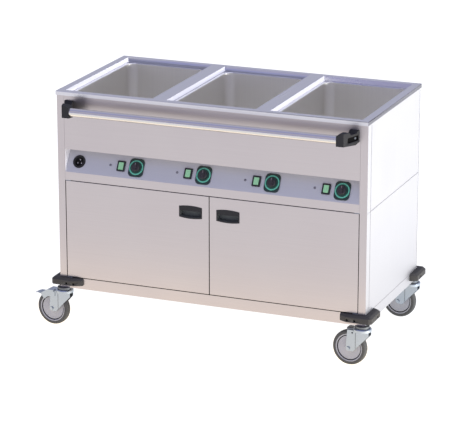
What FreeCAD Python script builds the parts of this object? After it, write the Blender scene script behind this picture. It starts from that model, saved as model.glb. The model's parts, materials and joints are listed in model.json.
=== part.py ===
import FreeCAD
import Part
import math
import os

# A mobile bain-marie trolley: three heated wells in a deck over a heated
# two-door cupboard, on four swivel castors. Millimetres, +Z up, the front
# faces -Y. The model is drawn about the middle of the deck, at floor level,
# and moved at the end so that its origin is the bottom centre of its box.

Vec = FreeCAD.Vector

# ---- casing -----------------------------------------------------------------
BODY_WIDTH = 1153.0
BODY_DEPTH = 560.0
BODY_BOTTOM = 147.0
PLINTH_HEIGHT = 40.0
CASING_SHEET = 1.5
POST_WIDTH = 26.5
REAR_FLANGE = 20.0
SEAM_GAP = 0.5
SIDE_SEAM_DROP = 323.0
SIDE_SEAM_WIDTH = 1.2
SIDE_SEAM_DEPTH = 0.7

# ---- deck and wells ---------------------------------------------------------
DECK_TOP = 870.0
DECK_FRONT_OVERHANG = 7.0
DECK_BACK_OVERHANG = 14.0
DECK_LIP = 14.0
WELL_COUNT = 3
WELL_PITCH = 384.5
RECESS_WIDTH = 331.0
RECESS_DEPTH = 532.0
RECESS_DROP = 15.0
RECESS_DRAFT = 3.0
LEDGE_SIDE = 13.0
LEDGE_END = 12.5
OPENING_CORNER = 35.0
OPENING_EDGE = 3.0
WELL_DROP = 190.0
WELL_FLOOR_RADIUS = 20.0
WELL_SHEET = 1.2
WELL_ROOM = 5.0
HEATER_WIDTH = 240.0
HEATER_DEPTH = 350.0
HEATER_THICKNESS = 12.0
HEATER_FORWARD = 35.0
TERMINAL_RADIUS = 4.0
TERMINAL_LENGTH = 16.0

# ---- drain ------------------------------------------------------------------
DRAIN_BACK = 212.0
DRAIN_STUB_RADIUS = 13.0
DRAIN_FLANGE_RADIUS = 21.0
DRAIN_FLANGE_THICKNESS = 3.0
DRAIN_MAIN_DROP = 46.0
DRAIN_DOWN_BACK = 249.0
DRAIN_DOWN_RADIUS = 10.0
DRAIN_CAP_RADIUS = 13.0
DRAIN_CAP_LENGTH = 12.0
DRAIN_END_HEIGHT = 152.0
DRAIN_CLEARANCE = 1.5

# ---- front ------------------------------------------------------------------
FASCIA_HEIGHT = 209.0
STRIP_HEIGHT = 83.0
STRIP_TILT = 30.0
BAND_HEIGHT = 30.0
FASCIA_RETURN_EXTRA = 10.0

# ---- controls, placed on the tilted strip -----------------------------------
CONTROL_BELOW_MIDDLE = 6.9
CONTROL_COUNT = 4
DIAL_PITCH = 254.3
DIAL_MIDDLE = 99.0
SWITCH_FROM_DIAL = 58.0
LAMP_FROM_DIAL = 100.0
INLET_PLACE = -503.0
DIAL_RADIUS = 34.0
DIAL_WIDTH = 57.0
DIAL_THICKNESS = 7.0
DIAL_CORNER = 5.0
RING_OUTER = 27.0
RING_INNER = 23.0
RING_HEIGHT = 2.5
KNOB_RADIUS = 21.5
KNOB_SKIRT = 4.0
KNOB_GRIP_WIDTH = 13.0
KNOB_GRIP_RADIUS = 18.0
KNOB_GRIP_HEIGHT = 13.0
KNOB_LIFT = 0.5
KNOB_BORE_DEPTH = 10.0
SHAFT_RADIUS = 3.0
SHAFT_END_GAP = 0.5
SHAFT_HOLE = 5.0
RUNNING_CLEARANCE = 0.06
THERMOSTAT_SIZE = 40.0
THERMOSTAT_DEPTH = 30.0
SWITCH_WIDTH = 32.0
SWITCH_HEIGHT = 39.0
SWITCH_RIM = 6.0
SWITCH_BODY_MARGIN = 2.0
SWITCH_BODY_DEPTH = 24.0
ROCKER_WIDTH = 21.0
ROCKER_HEIGHT = 27.0
ROCKER_THICKNESS = 9.0
ROCKER_PROUD = 2.0
ROCKER_SIDE_GAP = 0.4
ROCKER_END_GAP = 1.3
ROCKER_TILT = 6.0
LAMP_RADIUS = 4.5
LAMP_PROUD = 3.0
LAMP_DEPTH = 14.0
INLET_RADIUS = 25.0
INLET_RIM = 6.0
INLET_BODY_RADIUS = 20.5
INLET_BODY_DEPTH = 32.0
INLET_CAVITY_RADIUS = 17.0
INLET_CAVITY_DEPTH = 18.0
INLET_PIN_RADIUS = 2.4
INLET_PIN_CIRCLE = 8.0
INLET_PIN_LENGTH = 10.0
INLET_PIN_COUNT = 3

# ---- doors ------------------------------------------------------------------
DOOR_GAP = 2.5
DOOR_SHEET = 1.2
DOOR_THICKNESS = 25.0
DOOR_INNER_FLANGE = 10.0
PIVOT_FROM_EDGE = 12.0
PIVOT_FROM_FRONT = 6.0
PIVOT_RADIUS = 3.0
PIVOT_LENGTH = 9.0
PIVOT_PLATE = 2.0
PIVOT_PLATE_WIDTH = 20.0
PIVOT_PLATE_DEPTH = 18.0
PIVOT_BOSS = 9.5
PIVOT_BOSS_LENGTH = 13.0
CUP_WIDTH = 86.0
CUP_SIDE_HEIGHT = 39.0
CUP_BULGE = 4.0
CUP_FROM_SPLIT = 27.0
CUP_DROP = 64.0
CUP_RIM = 1.5
CUP_BORDER = 5.0
CUP_WALL = 1.6
CUP_DEPTH = 20.0
CUP_LIP_DROP = 10.0
CUP_LIP_THICKNESS = 2.5

# ---- cupboard ---------------------------------------------------------------
LINER_SHEET = 1.5
LINER_SETBACK = 30.0
LINER_HALF_WIDTH = 512.0
LINER_BACK = 225.0
LINER_FLOOR = 210.0
LINER_CEILING_DROP = 23.0
SHELF_BELOW_MIDDLE = 2.5
SHELF_SIDE_GAP = 1.0
SHELF_FRONT_SETBACK = 12.0
SHELF_BACK_GAP = 40.0
SHELF_LIP = 20.0
SHELF_SLOT_COLUMNS = 8
SHELF_SLOT_ROWS = 2
SHELF_SLOT_WIDTH = 70.0
SHELF_SLOT_DEPTH = 12.0
RUNNER_WIDTH = 14.0
RUNNER_THICKNESS = 3.0
SEAL_THICKNESS = 4.7
SEAL_WIDTH = 10.0
SEAL_INSET = 0.5
CATCH_WIDTH = 42.0
CATCH_HEIGHT = 14.0
CATCH_DEPTH = 22.0
CATCH_FROM_SPLIT = 16.0
FACE_CLEARANCE = 0.3
BLOWER_WIDTH = 620.0
BLOWER_HEIGHT = 110.0
BLOWER_DEPTH = 26.0
BLOWER_LIFT = 10.0
BLOWER_SLOTS = 10
BLOWER_SLOT_WIDTH = 36.0
BLOWER_SLOT_HEIGHT = 50.0

# ---- handle -----------------------------------------------------------------
HANDLE_RADIUS = 14.5
HANDLE_WALL = 1.5
HANDLE_DROP = 54.0
HANDLE_REACH = 69.0
BRACKET_REACH = 84.0
BRACKET_INNER = 491.0
BRACKET_WIDTH = 27.0
BRACKET_WALL_OUTER = 546.0
BRACKET_WALL_INNER = 514.0
BRACKET_ARM_START = 50.0
BRACKET_ARM_INNER = 13.0
BRACKET_HEIGHT = 44.5
BRACKET_RISE = 2.5
BRACKET_WALL_TAPER = 2.0
BRACKET_BELLY = 6.0
BRACKET_BELLY_DEPTH = 20.0
BRACKET_NECK_DROP = 11.0
BRACKET_NECK_START = 54.0
BRACKET_NECK_SLOPE = 8.0
BRACKET_FLANGE = 8.0
BRACKET_CHAMFER_WIDTH = 14.0
BRACKET_CHAMFER_HEIGHT = 9.0
BRACKET_SOCKET = 12.0
POCKET_LENGTH = 60.0
POCKET_HEIGHT = 20.0
POCKET_DEPTH = 5.0
POCKET_START = 8.0
POCKET_RISE = -2.5

# ---- base frame and bumpers -------------------------------------------------
FRAME_SHEET = 2.0
BASE_BACK_PROUD = 14.0
CORNER_PLATE_WIDTH = 120.0
CORNER_PLATE_DEPTH = 100.0
CORNER_PLATE = 3.0
BUMPER_LENGTH = 90.0
BUMPER_FULL = 62.0
BUMPER_SIDE_FULL = 78.0
BUMPER_PROUD = 22.0
BUMPER_SIDE_PROUD = 27.0
BUMPER_END_PROUD = 8.0
BUMPER_CORNER = 9.0
BUMPER_BOTTOM = 161.5
BUMPER_TOP_CHAMFER = 7.0

# ---- castors ----------------------------------------------------------------
CASTOR_HALF_SPACING = 564.0
CASTOR_FRONT_INSET = 6.5
CASTOR_BACK_INSET = 26.5
CASTOR_TURN = -6.0
WHEEL_RADIUS = 62.5
TYRE_WIDTH = 25.5
TYRE_SHOULDER = 4.0
RIM_RADIUS = 53.0
RIM_STEP_OUTER = 47.0
RIM_STEP_INNER = 45.0
RIM_STEP = 2.0
RIM_SIDE_INSET = 0.5
TRAIL = 45.0
AXLE_RADIUS = 4.0
AXLE_SLEEVE_RADIUS = 8.0
AXLE_NUT_RADIUS = 6.5
AXLE_NUT_THICKNESS = 4.0
FORK_SHEET = 2.5
FORK_SIDE_GAP = 2.75
FORK_TOP = 130.0
FORK_FOLD = 9.0
FORK_NOSE = -28.0
FORK_NOSE_HALF = 12.8
FORK_BOSS = 9.0
FORK_TAIL_TAPER = 5.0
FORK_EDGE_SLOPE = 1.09
FORK_EDGE_HEIGHT = 73.0
CROWN_RADIUS = 32.0
CROWN_TOP = 139.0
CROWN_CHAMFER = 3.0
HEAD_RADIUS = 25.0
HEAD_GAP = 0.5
KINGPIN_RADIUS = 5.0
KINGPIN_HEAD_RADIUS = 8.0
KINGPIN_HEAD = 4.0
STEM_RADIUS = 5.0
STEM_TOP = 171.0
STEM_CLEARANCE = 0.05
STEM_COVER = 1.0
STEM_BOSS_RADIUS = 11.0
RIVET_RADIUS = 3.0
RIVET_HOLE_TRAIL = 30.0
RIVET_HOLE_HEIGHT = 121.0
PEDAL_PIVOT_TRAIL = 48.0
PEDAL_PIVOT_HEIGHT = 118.0
PEDAL_GAP = 0.5
PEDAL_SHEET = 1.6
PEDAL_COVER_TOP = 132.2
PEDAL_COVER_START = 36.0
PEDAL_SHOULDER = 60.0
PEDAL_DIP_TRAIL = 91.0
PEDAL_DIP_HEIGHT = 113.5
PEDAL_TREAD_TRAIL = 104.0
PEDAL_TREAD_HEIGHT = 115.0
PEDAL_TIP_TRAIL = 116.0
PEDAL_TIP_HEIGHT = 111.0
PEDAL_TIP_HALF = 14.0
PEDAL_CHEEK_START = 30.0
PEDAL_CHEEK_TOP = 126.0
PEDAL_CHEEK_BOTTOM = 110.0
PEDAL_CHEEK_STEP = 4.0
PEDAL_HEEL_TRAIL = 75.0
PEDAL_HEEL_HEIGHT = 94.0
PEDAL_SHOE_HALF = 11.0
PEDAL_SHOE_START = 60.0
PEDAL_SHOE_END = 70.0
PEDAL_SHOE_BOTTOM = 125.3

# ---- limits of the moving parts, in degrees ---------------------------------
DOOR_SWING = 110.0
ROCKER_SWING = 2 * ROCKER_TILT
KNOB_SWING = 300.0
PEDAL_SWING = 7.0

# ---- worked out from the sizes above ----------------------------------------
HALF_WIDTH = BODY_WIDTH / 2
DECK_DEPTH = BODY_DEPTH + DECK_FRONT_OVERHANG + DECK_BACK_OVERHANG
DECK_FRONT = -DECK_DEPTH / 2
DECK_BACK = DECK_DEPTH / 2
FRONT = DECK_FRONT + DECK_FRONT_OVERHANG
BACK = DECK_BACK - DECK_BACK_OVERHANG
BASE_BACK = BACK + BASE_BACK_PROUD
BASE_MIDDLE = (FRONT + BASE_BACK) / 2
PLINTH_TOP = BODY_BOTTOM + PLINTH_HEIGHT
DECK_UNDERSIDE = DECK_TOP - CASING_SHEET
SIDE_SEAM_HEIGHT = DECK_TOP - SIDE_SEAM_DROP
OPENING_WIDTH = RECESS_WIDTH - 2 * LEDGE_SIDE
OPENING_DEPTH = RECESS_DEPTH - 2 * LEDGE_END
LEDGE_TOP = DECK_TOP - RECESS_DROP
WELL_FLOOR = LEDGE_TOP - WELL_DROP
WELL_UNDERSIDE = WELL_FLOOR - WELL_SHEET
POST_EDGE = HALF_WIDTH - POST_WIDTH
BAY_HALF = POST_EDGE - SEAM_GAP
STRIP_TOP = DECK_TOP - FASCIA_HEIGHT
STRIP_BOTTOM = STRIP_TOP - STRIP_HEIGHT
BAND_BOTTOM = STRIP_BOTTOM - BAND_HEIGHT
TILT = math.radians(STRIP_TILT)
STRIP_DEPTH = STRIP_HEIGHT * math.tan(TILT)
CONTROL_HEIGHT = STRIP_HEIGHT / math.cos(TILT) / 2 - CONTROL_BELOW_MIDDLE
DOOR_BOTTOM = PLINTH_TOP + DOOR_GAP
DOOR_TOP = BAND_BOTTOM - DOOR_GAP
CUP_CENTRE_HEIGHT = DOOR_TOP - CUP_DROP
DOOR_OUTER = POST_EDGE - DOOR_GAP
DOOR_INNER = DOOR_GAP / 2
DOOR_BACK = FRONT + DOOR_THICKNESS
PIVOT_X = DOOR_OUTER - PIVOT_FROM_EDGE
PIVOT_Y = FRONT + PIVOT_FROM_FRONT
LINER_FRONT = FRONT + LINER_SETBACK
LINER_CEILING = BAND_BOTTOM - LINER_CEILING_DROP
SHELF_HEIGHT = (LINER_FLOOR + LINER_CEILING) / 2 - SHELF_BELOW_MIDDLE
HANDLE_HEIGHT = DECK_TOP - HANDLE_DROP
AXLE_HEIGHT = WHEEL_RADIUS
FORK_INNER = TYRE_WIDTH / 2 + FORK_SIDE_GAP
FORK_OUTER = FORK_INNER + FORK_SHEET
FORK_TAIL = TRAIL + FORK_BOSS
FORK_TAIL_TOP = FORK_TAIL - FORK_TAIL_TAPER
HEAD_BOTTOM = CROWN_TOP + HEAD_GAP
STEM_BOSS_TOP = STEM_TOP + STEM_COVER
CASTOR_FRONT_Y = FRONT + CASTOR_FRONT_INSET
CASTOR_BACK_Y = BASE_BACK - CASTOR_BACK_INSET
CASTOR_PLACES = {
    "front_left": (-CASTOR_HALF_SPACING, CASTOR_FRONT_Y),
    "front_right": (CASTOR_HALF_SPACING, CASTOR_FRONT_Y),
    "rear_left": (-CASTOR_HALF_SPACING, CASTOR_BACK_Y),
    "rear_right": (CASTOR_HALF_SPACING, CASTOR_BACK_Y),
}
BRAKED_CASTORS = ("front_left", "rear_left")
WELL_NAMES = ("well_left", "well_centre", "well_right")
WELL_PLACES = [(i - (WELL_COUNT - 1) / 2) * WELL_PITCH for i in range(WELL_COUNT)]
DIAL_PLACES = [
    DIAL_MIDDLE + (i - (CONTROL_COUNT - 1) / 2) * DIAL_PITCH
    for i in range(CONTROL_COUNT)
]


# ---- shape helpers ----------------------------------------------------------
def box(x0, x1, y0, y1, z0, z1):
    """A box between two corners."""
    return Part.makeBox(x1 - x0, y1 - y0, z1 - z0, Vec(x0, y0, z0))


def face_of(points):
    """A flat face round a closed row of points."""
    return Part.Face(Part.makePolygon(list(points) + [points[0]]))


def prism_x(outline, x0, x1):
    """An outline of (y, z) points, drawn out along X."""
    return face_of([Vec(x0, y, z) for y, z in outline]).extrude(Vec(x1 - x0, 0, 0))


def prism_y(outline, y0, y1):
    """An outline of (x, z) points, drawn out along Y."""
    return face_of([Vec(x, y0, z) for x, z in outline]).extrude(Vec(0, y1 - y0, 0))


def prism_z(outline, z0, z1):
    """An outline of (x, y) points, drawn out along Z."""
    return face_of([Vec(x, y, z0) for x, y in outline]).extrude(Vec(0, 0, z1 - z0))


def rod(start, end, radius):
    """A round rod from one point to another."""
    return Part.makeCylinder(radius, (end - start).Length, start, end - start)


def upright(x, y, z0, z1, radius):
    """A round rod that stands along Z."""
    return rod(Vec(x, y, z0), Vec(x, y, z1), radius)


def across(x, z, y0, y1, radius):
    """A round rod that lies along Y."""
    return rod(Vec(x, y0, z), Vec(x, y1, z), radius)


def hexagon(x, y, z0, z1, radius):
    """A hexagonal nut or bolt head that stands along Z."""
    corners = [
        (x + radius * math.cos(math.radians(60 * i)), y + radius * math.sin(math.radians(60 * i)))
        for i in range(6)
    ]
    return prism_z(corners, z0, z1)


def rounded_block(width, depth, corner, z0, z1):
    """A block about the Z axis with its four upright edges rounded."""
    block = box(-width / 2, width / 2, -depth / 2, depth / 2, z0, z1)
    upright_edges = [e for e in block.Edges if abs(e.tangentAt(e.FirstParameter).z) > 0.99]
    return block.makeFillet(corner, upright_edges)


def frustum(width0, depth0, z0, width1, depth1, z1):
    """A four-sided block that changes size from z0 to z1."""
    def ring(width, depth, z):
        corners = [(-1, -1), (1, -1), (1, 1), (-1, 1)]
        points = [Vec(i * width / 2, j * depth / 2, z) for i, j in corners]
        return Part.makePolygon(points + [points[0]])
    return Part.makeLoft([ring(width0, depth0, z0), ring(width1, depth1, z1)], True, True)


def moved(shape, x=0.0, y=0.0, z=0.0):
    """A copy of a shape, moved."""
    copy = shape.copy()
    copy.translate(Vec(x, y, z))
    return copy


def turned(shape, axis, degrees):
    """A copy of a shape, turned about an axis through the origin."""
    copy = shape.copy()
    copy.rotate(Vec(0, 0, 0), axis, degrees)
    return copy


def mirrored_x(shape):
    """The same shape on the other side of the trolley."""
    return shape.mirror(Vec(0, 0, 0), Vec(1, 0, 0))


def mirrored_y(shape):
    """The same shape at the other end of the base, front to back."""
    return shape.mirror(Vec(0, BASE_MIDDLE, 0), Vec(0, 1, 0))


def fused(shapes):
    """One solid from several that touch or overlap."""
    first = shapes[0].fuse(shapes[1:]) if len(shapes) > 1 else shapes[0]
    return first.removeSplitter()


def group(shapes):
    """Several separate solids kept together in one sub-part."""
    return Part.makeCompound(shapes)


def on_strip(shape, x):
    """Sets a shape, drawn on a flat table with Z outwards, on the tilted strip."""
    slope = FreeCAD.Rotation(Vec(1, 0, 0), 90 - STRIP_TILT)
    copy = shape.copy()
    place = FreeCAD.Placement(Vec(x, FRONT, STRIP_BOTTOM), slope)
    copy.Placement = place.multiply(shape.Placement)
    return copy


# ---- base frame -------------------------------------------------------------
def corner_plate(inset):
    """The front right corner of the base: a castor plate, two ribs and a boss."""
    x0 = HALF_WIDTH - CORNER_PLATE_WIDTH
    y1 = FRONT + CORNER_PLATE_DEPTH
    x, y = CASTOR_HALF_SPACING, FRONT + inset
    boss = upright(x, y, BODY_BOTTOM, STEM_BOSS_TOP, STEM_BOSS_RADIUS)
    boss = boss.common(box(x0, HALF_WIDTH, FRONT, y1, BODY_BOTTOM, PLINTH_TOP))
    plate = box(x0, HALF_WIDTH, FRONT, y1, BODY_BOTTOM, BODY_BOTTOM + CORNER_PLATE)
    rib = box(x0, x0 + FRAME_SHEET, FRONT, y1, BODY_BOTTOM, PLINTH_TOP)
    cross_rib = box(x0, HALF_WIDTH, y1 - FRAME_SHEET, y1, BODY_BOTTOM, PLINTH_TOP)
    return fused([plate, rib, cross_rib, boss])


def chassis_frame():
    """The folded base tray: plinth walls, top sheet and castor corners."""
    outer = box(-HALF_WIDTH, HALF_WIDTH, FRONT, BASE_BACK, BODY_BOTTOM, PLINTH_TOP)
    wall = FRAME_SHEET
    inside = box(
        wall - HALF_WIDTH, HALF_WIDTH - wall, FRONT + wall, BASE_BACK - wall,
        BODY_BOTTOM, PLINTH_TOP - wall,
    )
    right = corner_plate(CASTOR_FRONT_INSET)
    rear = mirrored_y(corner_plate(CASTOR_BACK_INSET))
    corners = [right, mirrored_x(right), rear, mirrored_x(rear)]
    frame = fused([outer.cut(inside)] + corners)
    for x, y in CASTOR_PLACES.values():
        hole = upright(x, y, BODY_BOTTOM, STEM_BOSS_TOP, STEM_RADIUS + STEM_CLEARANCE)
        frame = frame.cut(hole)
    pipe_x, pipe_y = WELL_PLACES[0], DRAIN_DOWN_BACK
    pipe_radius = DRAIN_DOWN_RADIUS + DRAIN_CLEARANCE
    return frame.cut(upright(pipe_x, pipe_y, BODY_BOTTOM, PLINTH_TOP, pipe_radius))


def bumper():
    """The moulded buffer round the front right corner of the base."""
    proud, side_proud = BUMPER_PROUD, BUMPER_SIDE_PROUD
    side_end = FRONT + BUMPER_LENGTH
    side_full = FRONT + BUMPER_SIDE_FULL
    outline = [
        (HALF_WIDTH - BUMPER_LENGTH, FRONT),
        (HALF_WIDTH - BUMPER_LENGTH, FRONT - BUMPER_END_PROUD),
        (HALF_WIDTH - BUMPER_FULL, FRONT - proud),
        (HALF_WIDTH + side_proud - BUMPER_CORNER, FRONT - proud),
        (HALF_WIDTH + side_proud, FRONT - proud + BUMPER_CORNER),
        (HALF_WIDTH + side_proud, side_full),
        (HALF_WIDTH + BUMPER_END_PROUD, side_end),
        (HALF_WIDTH, side_end),
        (HALF_WIDTH, FRONT),
    ]
    block = prism_z(outline, BUMPER_BOTTOM, PLINTH_TOP)
    rim = []
    for edge in block.Edges:
        middle = edge.CenterOfMass
        on_top = abs(middle.z - PLINTH_TOP) < 0.01
        outside = middle.x > HALF_WIDTH + BUMPER_END_PROUD or middle.y < FRONT - BUMPER_END_PROUD
        if on_top and outside:
            rim.append(edge)
    return block.makeChamfer(BUMPER_TOP_CHAMFER, rim)


# ---- casing -----------------------------------------------------------------
def side_panel():
    """The right side: one folded sheet with the front post and a rear flange."""
    t = CASING_SHEET
    outline = [
        (POST_EDGE, LINER_FRONT + LINER_SHEET),
        (POST_EDGE, FRONT),
        (HALF_WIDTH, FRONT),
        (HALF_WIDTH, BACK),
        (HALF_WIDTH - REAR_FLANGE, BACK),
        (HALF_WIDTH - REAR_FLANGE, BACK - t),
        (HALF_WIDTH - t, BACK - t),
        (HALF_WIDTH - t, FRONT + t),
        (POST_EDGE + t, FRONT + t),
        (POST_EDGE + t, LINER_FRONT + LINER_SHEET),
    ]
    sheet = prism_z(outline, PLINTH_TOP, DECK_UNDERSIDE)
    half = SIDE_SEAM_WIDTH / 2
    seam = box(
        HALF_WIDTH - SIDE_SEAM_DEPTH, HALF_WIDTH, FRONT, BACK,
        SIDE_SEAM_HEIGHT - half, SIDE_SEAM_HEIGHT + half,
    )
    notch = box(
        POST_EDGE, POST_EDGE + t, FRONT + t, LINER_FRONT + LINER_SHEET,
        LEDGE_TOP - WELL_SHEET - WELL_ROOM, DECK_UNDERSIDE,
    )
    return sheet.cut([seam, notch])


def rear_panel():
    """The flat back, between the rear flanges of the sides."""
    x = HALF_WIDTH - REAR_FLANGE
    return box(-x, x, BACK - CASING_SHEET, BACK, PLINTH_TOP, DECK_UNDERSIDE)


def front_fascia():
    """The upper front sheet, folded back over the control strip."""
    t = CASING_SHEET
    fold_end = FRONT + STRIP_DEPTH + FASCIA_RETURN_EXTRA
    outline = [
        (FRONT, STRIP_TOP),
        (FRONT, DECK_UNDERSIDE),
        (FRONT + t, DECK_UNDERSIDE),
        (FRONT + t, STRIP_TOP + t),
        (fold_end, STRIP_TOP + t),
        (fold_end, STRIP_TOP),
    ]
    return prism_x(outline, -BAY_HALF, BAY_HALF)


def strip_sheet():
    """The tilted strip with the plain band under it, as one folded sheet."""
    t = CASING_SHEET
    slant = t / math.cos(TILT)
    fold = STRIP_BOTTOM + (t - slant) / math.tan(TILT)
    back = LINER_FRONT + LINER_SHEET
    outline = [
        (FRONT, BAND_BOTTOM),
        (FRONT, STRIP_BOTTOM),
        (FRONT + STRIP_DEPTH, STRIP_TOP),
        (FRONT + STRIP_DEPTH + slant, STRIP_TOP),
        (FRONT + t, fold),
        (FRONT + t, BAND_BOTTOM + t),
        (back, BAND_BOTTOM + t),
        (back, BAND_BOTTOM),
    ]
    return prism_x(outline, -BAY_HALF, BAY_HALF)


def strip_cheek():
    """The small triangle that closes the right end of the recess."""
    outline = [(FRONT, STRIP_BOTTOM), (FRONT + STRIP_DEPTH, STRIP_TOP), (FRONT, STRIP_TOP)]
    return prism_x(outline, BAY_HALF - CASING_SHEET, BAY_HALF)


def control_holes():
    """Everything that is punched out of the tilted strip."""
    deep = CASING_SHEET
    holes = []
    wide = SWITCH_WIDTH / 2 - SWITCH_BODY_MARGIN
    high = SWITCH_HEIGHT / 2 - SWITCH_BODY_MARGIN
    y = CONTROL_HEIGHT
    for x in DIAL_PLACES:
        holes.append(on_strip(upright(0, y, -deep, 0, SHAFT_HOLE), x))
        holes.append(on_strip(upright(0, y, -deep, 0, LAMP_RADIUS), x - LAMP_FROM_DIAL))
        switch = box(-wide, wide, y - high, y + high, -deep, 0)
        holes.append(on_strip(switch, x - SWITCH_FROM_DIAL))
    holes.append(on_strip(upright(0, y, -deep, 0, INLET_BODY_RADIUS), INLET_PLACE))
    return holes


def control_panel():
    """The recessed control strip, its two cheeks and the band below."""
    cheek = strip_cheek()
    sheet = fused([strip_sheet(), cheek, mirrored_x(cheek)])
    return sheet.cut(control_holes())


def top_deck():
    """The deck: a sheet with a turned-down lip and a hole for each well."""
    t = CASING_SHEET
    half = HALF_WIDTH + t
    skin = box(-half, half, DECK_FRONT, DECK_BACK, DECK_TOP - DECK_LIP, DECK_TOP)
    inside = box(
        t - half, half - t, DECK_FRONT + t, DECK_BACK - t,
        DECK_TOP - DECK_LIP, DECK_UNDERSIDE,
    )
    deck = skin.cut(inside)
    x = RECESS_WIDTH / 2 + WELL_SHEET
    y = RECESS_DEPTH / 2 + WELL_SHEET
    for place in WELL_PLACES:
        deck = deck.cut(box(place - x, place + x, -y, y, DECK_UNDERSIDE, DECK_TOP))
    return deck


# ---- wells ------------------------------------------------------------------
def well_body(spread, floor_edge):
    """The well's outside or inside: a stepped rim over a deep tub."""
    wide = RECESS_WIDTH + 2 * spread
    deep = RECESS_DEPTH + 2 * spread
    narrow = 2 * RECESS_DRAFT
    rim = frustum(
        wide - narrow, deep - narrow, LEDGE_TOP - spread, wide, deep, DECK_TOP
    )
    tub = rounded_block(
        OPENING_WIDTH + 2 * spread, OPENING_DEPTH + 2 * spread,
        OPENING_CORNER + spread, WELL_FLOOR - spread, LEDGE_TOP,
    )
    floor_edges = [e for e in tub.Edges if e.BoundBox.ZMax < WELL_FLOOR - spread + 0.01]
    tub = floor_edge(tub, floor_edges)
    return fused([rim, tub])


def well():
    """One deep-drawn well, with its rolled edge and its drain hole."""
    radius = WELL_FLOOR_RADIUS
    bevel = radius * (2 - math.sqrt(2)) + WELL_SHEET * (math.sqrt(2) - 1)
    outside = well_body(WELL_SHEET, lambda tub, edges: tub.makeChamfer(bevel, edges))
    inside = well_body(0.0, lambda tub, edges: tub.makeFillet(radius, edges))
    shell = outside.cut(inside)
    edges = []
    for edge in shell.Edges:
        level = edge.BoundBox
        flat = abs(level.ZMin - LEDGE_TOP) < 0.01 and abs(level.ZMax - LEDGE_TOP) < 0.01
        inside = abs(edge.CenterOfMass.x) < OPENING_WIDTH / 2 + 0.01
        if flat and inside and abs(edge.CenterOfMass.y) < OPENING_DEPTH / 2 + 0.01:
            edges.append(edge)
    shell = shell.makeChamfer(OPENING_EDGE, edges)
    return shell.cut(upright(0, DRAIN_BACK, WELL_UNDERSIDE, WELL_FLOOR, DRAIN_STUB_RADIUS))


def well_heater():
    """The heating plate clamped under a well, with its two terminals."""
    top = WELL_UNDERSIDE
    bottom = top - HEATER_THICKNESS
    middle = -HEATER_FORWARD
    plate = box(
        -HEATER_WIDTH / 2, HEATER_WIDTH / 2,
        middle - HEATER_DEPTH / 2, middle + HEATER_DEPTH / 2, bottom, top,
    )
    terminals = [
        upright(side * HEATER_WIDTH / 4, middle, bottom - TERMINAL_LENGTH, bottom, TERMINAL_RADIUS)
        for side in (-1, 1)
    ]
    return fused([plate] + terminals)


def drain_pipework():
    """A stub under each well, a main along the back and one pipe down."""
    main_height = WELL_UNDERSIDE - DRAIN_MAIN_DROP
    left = WELL_PLACES[0]
    pieces = []
    for x in WELL_PLACES:
        pieces.append(upright(x, DRAIN_BACK, main_height, WELL_FLOOR, DRAIN_STUB_RADIUS))
        flange_bottom = WELL_UNDERSIDE - DRAIN_FLANGE_THICKNESS
        pieces.append(upright(x, DRAIN_BACK, flange_bottom, WELL_UNDERSIDE, DRAIN_FLANGE_RADIUS))
    main_start = Vec(left - DRAIN_STUB_RADIUS, DRAIN_BACK, main_height)
    main_end = Vec(WELL_PLACES[-1] + DRAIN_STUB_RADIUS, DRAIN_BACK, main_height)
    pieces.append(rod(main_start, main_end, DRAIN_DOWN_RADIUS))
    elbow_end = DRAIN_DOWN_BACK + DRAIN_DOWN_RADIUS
    elbow = across(left, main_height, DRAIN_BACK, elbow_end, DRAIN_DOWN_RADIUS)
    pieces.append(elbow)
    down_top = main_height + DRAIN_DOWN_RADIUS
    down = upright(left, DRAIN_DOWN_BACK, DRAIN_END_HEIGHT, down_top, DRAIN_DOWN_RADIUS)
    pieces.append(down)
    cap_top = DRAIN_END_HEIGHT + DRAIN_CAP_LENGTH
    pieces.append(upright(left, DRAIN_DOWN_BACK, DRAIN_END_HEIGHT, cap_top, DRAIN_CAP_RADIUS))
    return fused(pieces)


# ---- controls ---------------------------------------------------------------
def dial_bezel():
    """A dial's backing plate: a disc with two flat sides."""
    y = CONTROL_HEIGHT
    disc = upright(0, y, 0, DIAL_THICKNESS, DIAL_RADIUS)
    half = DIAL_WIDTH / 2
    trim = box(-half, half, y - DIAL_RADIUS, y + DIAL_RADIUS, 0, DIAL_THICKNESS)
    plate = disc.common(trim)
    corners = [e for e in plate.Edges if abs(e.tangentAt(e.FirstParameter).z) > 0.99 and abs(e.CenterOfMass.x) > half - DIAL_CORNER]
    plate = plate.makeFillet(DIAL_CORNER, corners)
    return plate.cut(upright(0, y, 0, DIAL_THICKNESS, SHAFT_HOLE))


def dial_ring():
    """The coloured scale ring on a dial's backing plate."""
    y = CONTROL_HEIGHT
    top = DIAL_THICKNESS + RING_HEIGHT
    outer = upright(0, y, DIAL_THICKNESS, top, RING_OUTER)
    return outer.cut(upright(0, y, DIAL_THICKNESS, top, RING_INNER))


def knob():
    """A thermostat knob: a round skirt with a bar grip across it."""
    y = CONTROL_HEIGHT
    bottom = DIAL_THICKNESS + KNOB_LIFT
    skirt_top = bottom + KNOB_SKIRT
    grip_top = skirt_top + KNOB_GRIP_HEIGHT
    skirt = upright(0, y, bottom, skirt_top, KNOB_RADIUS)
    half = KNOB_GRIP_WIDTH / 2
    bar = box(-half, half, y - KNOB_GRIP_RADIUS, y + KNOB_GRIP_RADIUS, skirt_top, grip_top)
    grip = bar.common(upright(0, y, skirt_top, grip_top, KNOB_GRIP_RADIUS))
    bore_radius = SHAFT_RADIUS + RUNNING_CLEARANCE
    bore = upright(0, y, bottom, bottom + KNOB_BORE_DEPTH, bore_radius)
    return fused([skirt, grip]).cut(bore)


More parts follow.
